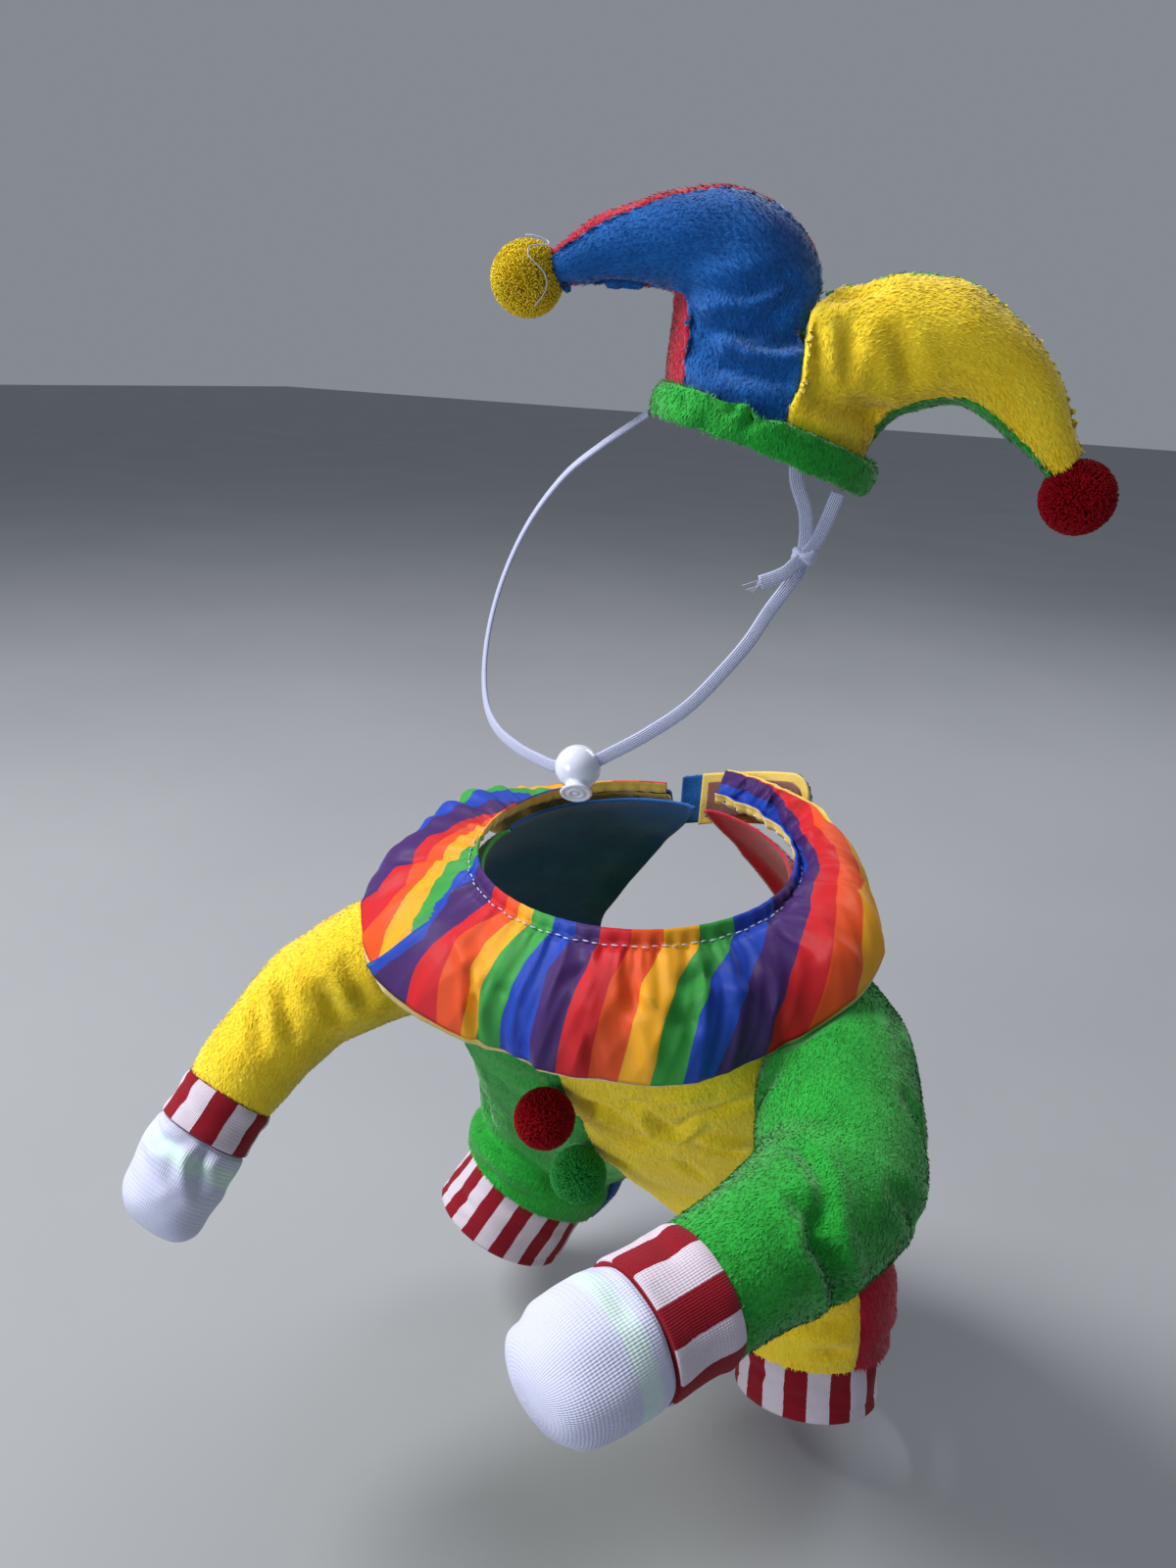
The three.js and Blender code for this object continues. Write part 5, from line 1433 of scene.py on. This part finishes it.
# Creases of the skirt: half width in mm, depth, then places as degrees round and fall.
COLLAR_FOLDS = [
    (2.5, 4.2, (-17.2, 0.50), (-14.5, 0.74), (-14, 1.02)),
    (3.6, -2.6, (-25.2, 0.34), (-19.6, 0.43), (-14.5, 0.53)), (3.2, 2.1, (-9.9, 0.46), (-5.8, 0.56)),
    (2.7, 1.9, (15.6, 0.16), (11, 0.29)), (3.6, -2.7, (29.9, 0.30), (35.4, 0.43)),
    (3.6, -2.4, (29.6, 0.54), (34.2, 0.82)), (2.9, 2.6, (26.7, 0.24), (29.6, 0.43)),
    (3.2, 2.6, (42, 0.25), (50.4, 0.22)), (3.4, -2.2, (53.1, 0.37), (56.7, 0.46)),
    (3.2, 2.6, (39.1, 0.47), (44.1, 0.58)), (4.6, -2.6, (85.8, 0.02), (96, 0.1), (107.4, 0.20)),
    (3.8, -2.2, (80.5, 0.53), (82.9, 0.83)), (3.4, 2.1, (-3, 0.62), (2, 1.0)),
    (3.2, 1.9, (17, 0.58), (21, 0.98)), (3.6, 2.4, (62, 0.5), (66, 0.98)),
    (3.4, 2.2, (71, 0.1), (75, 0.46)), (3.8, 2.9, (-58, 0.1), (-62, 0.5), (-70, 0.95)),
    (4, 3.2, (-84, 0.08), (-92, 0.5), (-97, 0.98)), (3.6, -2.6, (-75, 0.2), (-82, 0.7)),
    (4.2, 3, (-112, 0.1), (-118, 0.6), (-124, 0.98)), (3.8, -2.4, (-104, 0.3), (-108, 0.9)),
    (4.2, 2.9, (-140, 0.1), (-146, 0.9)), (4, 2.6, (122, 0.1), (126, 0.9)),
    (3.8, 2.6, (146, 0.1), (151, 0.9)), (3.6, -2.1, (136, 0.2), (139, 0.8)),
    (3.8, 2.4, (164, 0.1), (166, 0.9)),
]


def draped_skirt(rounds, falls, extra=0, sunk=0):
    """Points of the skirt with the long soft facets that both its layers share."""
    turns = np.radians(rounds) * 15.5 + 0.95 * np.sin(np.radians(rounds) * 7) + 1.3 * falls
    facets = 2.0 * (0.55 - np.abs(np.sin(turns)))
    facets = facets + 0.6 * (0.5 - np.abs(np.sin(2.3 * turns + 1.1 + 4 * falls)))
    drape = facets * np.sin(math.pi * np.minimum(falls * 0.72, 1)) ** 0.7
    return collar_points(rounds, falls, extra=extra + drape, sunk=sunk)


def creased(skirt, normals):
    """Presses the skirt's creases in."""
    folds = [
        (wide, deep, *collar_points(*np.array(places, float).T)) for wide, deep, *places in COLLAR_FOLDS
    ]
    return press_folds(skirt, normals, folds)


def ruffle():
    """The satin strip: a crimped casing round the neck, and a skirt that laps over itself once."""
    columns, casing_rows, skirt_rows = 500, 5, 30
    base = np.linspace(*COLLAR_ENDS, columns - 2)
    base = np.sort(np.append(base, (FOLD_ROUND - 0.04, FOLD_ROUND + 0.04)))
    falls = np.concatenate([np.full(casing_rows, 0), np.linspace(0.03, 1, skirt_rows)])[:, None]
    lean = np.interp(falls, *np.array(FOLD_LINE).T) - FOLD_ROUND
    rounds = base[None] + lean * np.exp(-(((base[None] - FOLD_ROUND) / 24) ** 2))
    behind = np.broadcast_to(base[None] < FOLD_ROUND, rounds.shape)
    past = base - FOLD_ROUND
    lap = np.where(past >= 0, np.exp(-np.maximum(past, 0) / 10), 0)[None] * FOLD_LIFT
    a = np.radians(rounds)
    pucker = 0.55 * np.sin(a * 97 + 2.2 * np.sin(a * 13)) * np.exp(-7 * falls)
    flare = 2.0 * lap / FOLD_LIFT * np.clip((falls - 0.75) / 0.25, 0, 1)
    skirt = draped_skirt(rounds, falls, extra=pucker + lap * np.minimum(1, 4 * falls) + flare)
    shares = np.linspace(0, 1, casing_rows)[:, None]
    crimp = (0.5 * np.sin(a[:casing_rows] * 61 + 1.5 * np.sin(a[:casing_rows] * 9))) * shares
    skirt[:casing_rows] = casing_points(rounds[:casing_rows], shares, extra=crimp)
    normals = grid_normals(skirt)
    outward = (skirt[casing_rows:] * (1, 1, 0) * normals[casing_rows:]).sum()
    normals *= np.sign(outward)
    outer = creased(skirt, normals)
    u, v = cloth_uv(outer)
    piece = wall_mesh("collar_ruffle_satin", outer, outer - normals * SATIN_THICK, satin, u, v)
    stripe = stripe_place(rounds, np.broadcast_to(falls, rounds.shape), behind)
    layer = piece.data.attributes.new("stripe", "FLOAT", "POINT")
    layer.data.foreach_set("value", np.concatenate([stripe, stripe]).ravel().astype(np.float32))
    piece.data.materials.append(velour)
    inner_quads = (outer.shape[0] - 1) * (outer.shape[1] - 1)
    slots = np.zeros(len(piece.data.polygons), np.int32)
    lining = (casing_rows - 1) * (columns - 1)
    slots[inner_quads:inner_quads + lining] = 1
    piece.data.polygons.foreach_set("material_index", slots)
    return piece


def under_strip():
    """The velour strip that lies under the skirt and shows past its hem."""
    columns, rows = 340, 26
    rounds = np.linspace(*COLLAR_ENDS, columns)[None].repeat(rows, 0)
    shown = 1.02 + 0.03 * np.exp(-(((rounds + 30) / 45) ** 2))
    falls = 0.14 + np.linspace(0, 1, rows)[:, None] * (shown - 0.14)
    depth = UNDER_DEPTH + 1.4 * np.exp(-(((rounds - 110) / 14) ** 2))
    outer = draped_skirt(rounds, falls, sunk=depth)
    normals = grid_normals(outer)
    normals *= np.sign((outer * (1, 1, 0) * normals).sum())
    outer = creased(outer, normals)
    u, v = cloth_uv(outer)
    return wall_mesh("collar_under_strip", outer, outer - normals * VELOUR_THICK, velour, u, v)


def running_stitches():
    """White thread along the line under the casing: one stitch every 3.9 mm."""
    count = 112
    parts = []
    for k, at in enumerate(np.linspace(COLLAR_ENDS[0] + 1, COLLAR_ENDS[1] - 1, count)):
        reach = 0.95 + 0.1 * math.sin(k * 2.3)
        rounds = at + np.linspace(-reach, reach, 7)
        extra = 0.42 + 0.22 * np.cos(np.linspace(-1.4, 1.4, 7))
        path = collar_points(rounds, np.full(7, 0.012 + 0.004 * math.sin(k * 1.7)), extra=extra)
        parts.append(round_tube(path, 0.33 * np.sqrt(np.linspace(-1, 1, 7) ** 2 * -0.85 + 1), 6))
    return white_strands("collar_stitches", joined(parts))


ruffle_piece, strip_piece, stitches_piece = ruffle(), under_strip(), running_stitches()
settle(ruffle_piece, "rainbow_satin", "collar_ruffle")
settle(strip_piece, "yellow_velour", "collar_under_layer")
settle(stitches_piece, "white_elastic")

# ---------------------------------------------------------------- nape tab
# The end of the neck's fastening stands up behind the collar: blue plush outside, a velour facing that
# shows as a yellow edge, and a strip of brown hook-and-loop tape inside.

TAB = {"radius": 87, "flare": 4, "from": 192, "to": 142, "middle": -4, "rise": 21, "height": 26}


def tab_layer(start, inward, margin, thickness, material, name):
    """One layer of the tab, and its grid of points and directions outwards for the pile."""
    rows, columns = 26, 70
    half_height = TAB["height"] / 2 + margin
    length = math.radians(TAB["from"] - TAB["to"]) * TAB["radius"]
    along = start + np.linspace(0, 1, columns) * (length + margin - start)
    to_end = np.clip((length + margin - along) / half_height, 0, 1)
    half = half_height * np.maximum(np.sqrt(1 - (1 - to_end) ** 2), 0.18)
    across = np.linspace(-1, 1, rows)[:, None]
    a = math.radians(TAB["from"]) - along / TAB["radius"]
    share = along / length
    out = (TAB["radius"] + TAB["flare"] * share - inward)[None] + 0.5 * np.sin(along / 6)[None] * across
    up = (TAB["middle"] + TAB["rise"] * share)[None] + half[None] * across
    grid = round_neck(out, a[None], up)
    radial = grid * (1, 1, 0)
    radial /= np.linalg.norm(radial, axis=2, keepdims=True)
    u, v = cloth_uv(grid)
    return wall_mesh(name, grid, grid - radial * thickness, material, u, v), grid, radial


fastener_tape = velour_material("fastener_tape", (0.33, 0.15, 0.12), (0.16, 0.06, 0.05))
tab_outside, tab_grid, tab_out = tab_layer(0, 1.0, 0, 1.0, PLUSH["blue"], "nape_tab_plush")
tab_pile = grow_pile(
    "nape_tab_pile", tab_grid, outward_faces(tab_grid, tab_out), np.gradient(tab_grid, axis=1),
    PLUSH["blue"], seed=31,
)
tab_facing, _, _ = tab_layer(11, 2.3, 0.8, 1.2, velour, "nape_tab_velour")
tab_tape, _, _ = tab_layer(15, 3.8, -3.5, 1.4, fastener_tape, "nape_tab_tape")
for piece, slot, node, flat, on_it in (
    (tab_outside, "blue_plush", "nape_tab", (0.077, 0.026), [tab_pile]),
    (tab_facing, "yellow_velour", "nape_tab_facing", (0.067, 0.0276), []),
    (tab_tape, "fastener_tape", "nape_tab_fastener", (0.058, 0.019), []),
):
    settle(piece, slot, node)
settle(tab_pile, "blue_plush")

# ---------------------------------------------------------------- hat: stuffed horns and rolled band
# Each horn is cut flat in two faces, sewn round its edge and stuffed: blue and red on the wearer's right,
# yellow and green on the left. A padded roll of green plush goes round the opening under them.

HAT_MIDDLE, HAT_TURNED = np.array((44.0, -13.0, 186.0)), math.radians(21)
HAT_ALONG = np.array((math.cos(HAT_TURNED), math.sin(HAT_TURNED), 0))
HAT_FRONT = np.array((math.sin(HAT_TURNED), -math.cos(HAT_TURNED), 0))


def hat_points(u, w, n):
    """Points from the hat's own frame: u to the wearer's left, w up and n out of its front face."""
    u, w, n = (value[..., None] for value in np.broadcast_arrays(u, w, n))
    return HAT_MIDDLE + u * HAT_ALONG + n * HAT_FRONT + w * np.array((0, 0, 1))


# Sections of a horn: u and w of its low end and of its top end, half its depth, how round it is, and how
# far the seam is drawn to the front at the low and the top end, in degrees.
HORNS = {
    "right": np.array([
        (-33.5, 9, 10.9, -1, 35, 1.22, 48, 0), (-34.5, 18, 11.1, 9.5, 34, 1.25, 48, 0),
        (-34.5, 31, 15.3, 25, 30, 1.4, 46, 0), (-33.8, 41, 13.2, 36.5, 26, 1.65, 42, 0),
        (-33.5, 45, 18.5, 49, 24, 1.9, 30, 0), (-34, 45.9, 14.5, 63, 22.5, 2, 12, 2),
        (-35.5, 46.3, 4, 74.5, 21, 2, 4, 8), (-38.5, 46.8, -13.5, 81.5, 19.5, 2, 0, 20),
        (-43, 47.3, -31, 80.5, 17.5, 2, 0, 32), (-50, 47.6, -46, 76.8, 15, 2, 0, 40),
        (-60, 47.4, -60.5, 71.5, 12, 2, 0, 45), (-69, 46.6, -71, 65, 9.5, 2, 0, 46),
        (-76, 45.8, -79, 59, 7, 2, 0, 46),
    ], float),
    "left": np.array([
        (40, -14, 11.5, -1, 34, 0.78, 8, 0), (41, -5, 11.7, 9.5, 34, 0.85, 12, 0),
        (43.5, 0.5, 15.9, 25, 31, 1.1, 22, 0), (45.5, 3.8, 13.9, 36.5, 28, 1.45, 28, 0),
        (48, 6.5, 20, 47, 26, 1.85, 30, 0), (50.5, 8.3, 31, 51.5, 25, 2, 30, 2),
        (53.5, 9.6, 44, 55.6, 24, 2, 30, 5), (58, 10.8, 57, 55.6, 23, 2, 30, 8),
        (64, 12.2, 70.5, 53, 21.5, 2, 30, 12), (71, 12.6, 83.5, 45, 19.5, 2, 30, 14),
        (78.5, 9.2, 95.5, 34.5, 16.5, 2, 30, 12), (88.5, 2.5, 105, 22, 13, 2, 30, 0),
        (97, -4, 110.5, 9.5, 10, 2, 30, -20), (103.5, -10, 115, 0, 7, 2, 30, -30),
    ], float),
}
# Creases of the hat: half width and depth, then places, in mm.
HAT_FOLDS = {
    "front_right": [
        (3.4, 2.7, (25.3, -36.6, 231.3), (45.5, -37.3, 231.5), (55.9, -29.6, 236.7)),
        (3.6, 5.4, (27.4, -38.8, 222.8), (35.7, -41.1, 220.4), (47.6, -39.4, 220.5), (57.2, -33.1, 222),
         (63.2, -25.3, 220.3)),
        (2.9, 2.4, (40.3, -40, 224.6), (55, -33.2, 226.5), (60.4, -26.5, 232.4)),
        (3.4, 4.8, (47.2, -41.5, 215.5), (57.4, -36.5, 216.7), (63.1, -29.4, 218.6)),
        (3.6, 5.1, (25.9, -38.8, 214.9), (39.7, -43.5, 209.6), (53.5, -41.9, 207.8),
         (62.6, -37.9, 206.1)),
        (3.2, 2.7, (34.4, -41.6, 217.3), (44.5, -42.8, 212.3)),
        (3.6, 3.1, (-12, -26, 232), (4, -32, 226)), (3.8, 3.1, (-44, -8, 224), (-34, -20, 206)),
    ],
    "front_left": [
        (3.8, 5.4, (69.9, -36.6, 204.9), (74, -33.9, 199.5), (80.7, -27.7, 197.7), (87.1, -14.3, 194.7),
         (89.6, -4.9, 193.7)),
        (3.4, 3.4, (68.5, -30.4, 220.3), (73.9, -33.5, 208.2), (77.8, -31.1, 202.2)),
        (3.2, 2.7, (77.7, -23.9, 223.9), (80.3, -27.6, 205.5)),
        (3.6, 3.1, (94, -20, 222), (100, -14, 206)), (3.4, 2.7, (72, -22, 240), (80, -16, 250)),
    ],
    "back_right": [
        (4, 4.1, (10, 30, 226), (30, 34, 222), (48, 26, 224)),
        (4, 3.7, (0, 32, 206), (28, 36, 204), (50, 30, 206)), (3.8, 3.1, (-40, 24, 216), (-30, 34, 198)),
    ],
    "back_left": [
        (4, 4.1, (62, 26, 206), (76, 20, 200), (88, 8, 196)), (3.8, 3.4, (66, 24, 226), (80, 16, 220)),
        (3.6, 2.7, (84, 10, 240), (96, 4, 226)),
    ],
}


def horn_skin(word, face):
    """The outer cloth of one face of a horn; face is 1 in front and -1 behind."""
    rows = []
    for t in np.linspace(0, 1, 110):
        low_u, low_w, top_u, top_w, deep, cut, low_turn, top_turn = smooth_rows(HORNS[word], t)
        sliver = math.degrees(0.18 / deep) * face
        start, end = max(top_turn, 0.4) + sliver, 180 - max(low_turn, 0.4) - sliver
        f = np.linspace(0, 1, 70)
        degrees = start + (end - start) * f if face > 0 else start - f * (360 - end + start)
        share = (1 + np.cos(np.radians(degrees))) / 2
        depth = deep * np.sqrt(np.maximum(1 - (1 - cut * share) ** 2, 0))
        depth = depth * np.sign(np.sin(np.radians(degrees)))
        rows.append(hat_points(low_u + (top_u - low_u) * share, low_w + (top_w - low_w) * share, depth))
    return np.array(rows)


for k, (word, face, colour) in enumerate((
    ("right", 1, "blue"), ("right", -1, "red"), ("left", 1, "yellow"), ("left", -1, "green"),
)):
    side = f"{'front' if face > 0 else 'back'}_{word}"
    stuffed_plush(
        f"hat_{side}_stuffed", f"hat_{side}", horn_skin(word, face), False, colour, HAT_FOLDS[side],
        41 + k, voxel=1.5,
    )

# Creases of the band, in mm like the hat's. The first is where its one end tucks under the other.
BAND_FOLDS = [
    (2.2, 4.2, (55.6, -51.4, 191.8), (59.5, -48.8, 194.5), (62.8, -40.2, 196.7)),
    (2.8, 2, (45.8, -50.7, 197.4), (49.8, -50.9, 195.2)), (2.8, 1.7, (28, -50, 200), (33, -52, 194)),
    (2.8, 1.7, (4, -46, 196), (9, -48, 189)), (2.8, 1.8, (78, -14, 190), (80, -8, 182)),
    (2.8, 1.8, (-28, -20, 186), (-24, -24, 178)), (3, 2.1, (20, 42, 200), (24, 44, 192)),
    (3, 2, (60, 34, 192), (62, 36, 184)), (3, 2, (-16, 30, 192), (-14, 34, 184)),
]
BAND = {"u": 3, "w": 0.5, "tilt": -17.5, "half_u": 41.2, "half_n": 39, "thick": 3.2, "high": 6.8}


def hat_band():
    """The padded roll round the hat's opening, and its pile."""
    around, section_steps = 220, 36
    a = full_turn(around)[:, None]
    section = full_turn(section_steps)[None]
    dent = 1.6 * np.exp(-(((a - 1.95) / 0.3) ** 2))
    outward = (BAND["thick"] - dent) * np.cos(section)
    high = BAND["high"] * np.sin(section)
    u, n = (BAND["half_u"] + outward) * np.cos(a), (BAND["half_n"] + outward) * np.sin(a)
    tilt = math.radians(BAND["tilt"])
    grid = hat_points(
        BAND["u"] + u * math.cos(tilt) - high * math.sin(tilt),
        BAND["w"] + u * math.sin(tilt) + high * math.cos(tilt) - 1.8 * np.cos(2 * a), n,
    )
    points = grid.reshape(-1, 3)
    i, j = np.meshgrid(np.arange(around), np.arange(section_steps), indexing="ij")
    ahead, beside = (i + 1) % around, (j + 1) % section_steps
    faces = np.stack([
        i * section_steps + j, ahead * section_steps + j,
        ahead * section_steps + beside, i * section_steps + beside,
    ], -1).reshape(-1, 4)
    normals = point_normals(points, faces)
    points = press_folds(points + normals * lumps(points, 6, 0.3)[:, None], normals, BAND_FOLDS)
    backing = points - normals * PILE_SHARE
    corners = backing[faces]
    if (corners[:, 0] * np.cross(corners[:, 1], corners[:, 2])).sum() < 0:
        faces = faces[:, ::-1]
    comb = (np.roll(grid, -1, 1) - grid).reshape(-1, 3)
    band = add_mesh("hat_band_roll", backing * MM, faces, PLUSH["green"])
    pile = grow_pile("hat_band_pile", backing, faces, -comb, PLUSH["green"], seed=51)
    settle(band, "green_plush", "hat_band")
    settle(pile, "green_plush")


hat_band()

# ---------------------------------------------------------------- pompoms
# Four balls of cut yarn: yellow and red at the tips of the horns, red and green down the middle of the
# front. Every strand is tied at the heart of the ball and trimmed round.

POMPOM_RADIUS, POMPOM_CORE = 12.6, 10.2
STRAND_DEPTH = 1.6  # from the ball's edge in to the middle of the strands
STRANDS, STRAND_LENGTH, STRAND_WIDTH, STRAND_SPREAD = 4600, 2.6, 0.55, 0.4
POMPOMS = {
    "pompom_hat_right": (hat_points(-86.8, 49, 0), "yellow_yarn"),
    "pompom_hat_left": (hat_points(116, -15.5, 0), "red_yarn"),
    "pompom_chest_upper": (np.array((-1, -69, -100.0)), "red_yarn"),
    "pompom_chest_lower": (np.array((0.5, -39, -150.0)), "green_yarn"),
}


def yarn_material(name, colour, deep):
    """Cut acrylic yarn, every strand a little lighter or darker."""
    material, tree, shader = start_material(name, 0.85, sheen=0.12, sheen_roughness=0.5, specular=0.06)
    strand = add_node(tree, "ShaderNodeAttribute", {"attribute_name": "tone"})
    own = add_node(tree, "ShaderNodeNewGeometry").outputs["Normal"]
    tint = colour_steps(tree, strand.outputs["Fac"], [(0, deep), (0.7, colour)])
    dress(tree, shader, tint, towards_cloth(tree, own, 1.2))
    return material


def yarn_tree():
    """Geometry Nodes that stand short strands of yarn on a ball."""
    tree, given = start_tree(
        "yarn_ball", "Yarn", Ball="Geometry", Strands_per_m2="Float", Length="Float", Width="Float",
        Spread="Float", Seed="Int", Finish="Material",
    )
    spots, stand = strewn(tree, given["Ball"], given["Strands per m2"], given["Seed"])
    low = sum_of(tree, "MULTIPLY", given["Spread"], -1)
    low = vector_of(tree, low, low, -3.14)
    high = vector_of(tree, given["Spread"], given["Spread"], 3.14)
    leaning = tossed(tree, stand, low, high, given["Seed"])
    strand = add_node(tree, "GeometryNodeMeshCone", {"fill_type": "NGON"}, {
        "Vertices": 3, "Side Segments": 1, "Fill Segments": 1,
        "Radius Top": 0.5, "Radius Bottom": 0.34, "Depth": 1.0,
    })
    scale = add_node(tree, "ShaderNodeVectorMath", {"operation": "MULTIPLY"}, {
        0: vector_of(tree, given["Width"], given["Width"], given["Length"]),
        1: random_value(tree, "FLOAT_VECTOR", (0.75, 0.75, 0.86), (1.25, 1.25, 1.04), 5),
    })
    grown(
        tree, spots, strand.outputs["Mesh"], leaning, scale.outputs["Vector"], (0.0, 1.0, 9),
        given["Finish"],
    )
    return tree


YARN_TREE = yarn_tree()
YARN = {
    "yellow_yarn": yarn_material("yellow_yarn", (1.0, 0.78, 0.05), (0.97, 0.66, 0.02)),
    "red_yarn": yarn_material("red_yarn", (0.40, 0.002, 0.010), (0.30, 0.001, 0.006)),
    "green_yarn": yarn_material("green_yarn", (0.05, 0.46, 0.10), (0.022, 0.30, 0.05)),
}


def ball_mesh(place, radius):
    """Points and faces of a small ball, both poles closed."""
    heights = np.linspace(-math.pi / 2, math.pi / 2, 15)
    points, faces = turned([(radius * math.cos(h), radius * math.sin(h)) for h in heights], 24)
    points = points + place
    if not facing_out(points, faces, place):
        faces = [face[::-1] for face in faces]
    return points, faces


def pompom(name, place, slot, seed):
    """A ball of yarn round a small plain heart."""
    points, faces = ball_mesh(place, POMPOM_CORE)
    heart = add_mesh(name + "_heart", points * MM, faces, YARN[slot])
    middle = POMPOM_RADIUS - STRAND_DEPTH
    points, faces = ball_mesh(place, middle)
    base = add_mesh(name + "_base", points * MM, faces, YARN[slot])
    yarn = made_by_nodes(name + "_yarn", base, YARN_TREE, {
        "Strands per m2": STRANDS / (4 * math.pi * (middle * MM) ** 2), "Length": STRAND_LENGTH * MM,
        "Width": STRAND_WIDTH * MM, "Spread": STRAND_SPREAD, "Seed": seed, "Finish": YARN[slot],
    })
    settle(heart, slot)
    settle(yarn, slot, name)


for k, (name, row) in enumerate(POMPOMS.items()):
    pompom(name, *row, seed=60 + k)

# A loose end of white thread hangs in curls over the yellow pompom: mm to the side and up from its
# middle, and how far from the middle it lies.
THREAD_ROUTE = [
    (-1, 13.4), (3, 12.8), (7, 11.2), (7.2, 8), (4, 6.6), (1.2, 5.4), (1, 2), (3.6, -0.6), (6.6, -3),
    (7.8, -6.4), (6.4, -9.6), (3.4, -12.6),
]
THREAD_LIES = 14.4
curl = np.array([
    side * level + rise * upright - ahead * math.sqrt(max(THREAD_LIES**2 - side**2 - rise**2, 0))
    for side, rise in THREAD_ROUTE
])
curl = smooth_path(POMPOMS["pompom_hat_right"][0] + curl, 0.8)
settle(white_strands("pompom_loose_thread", round_tube(curl, 0.24, 6)), "white_elastic")
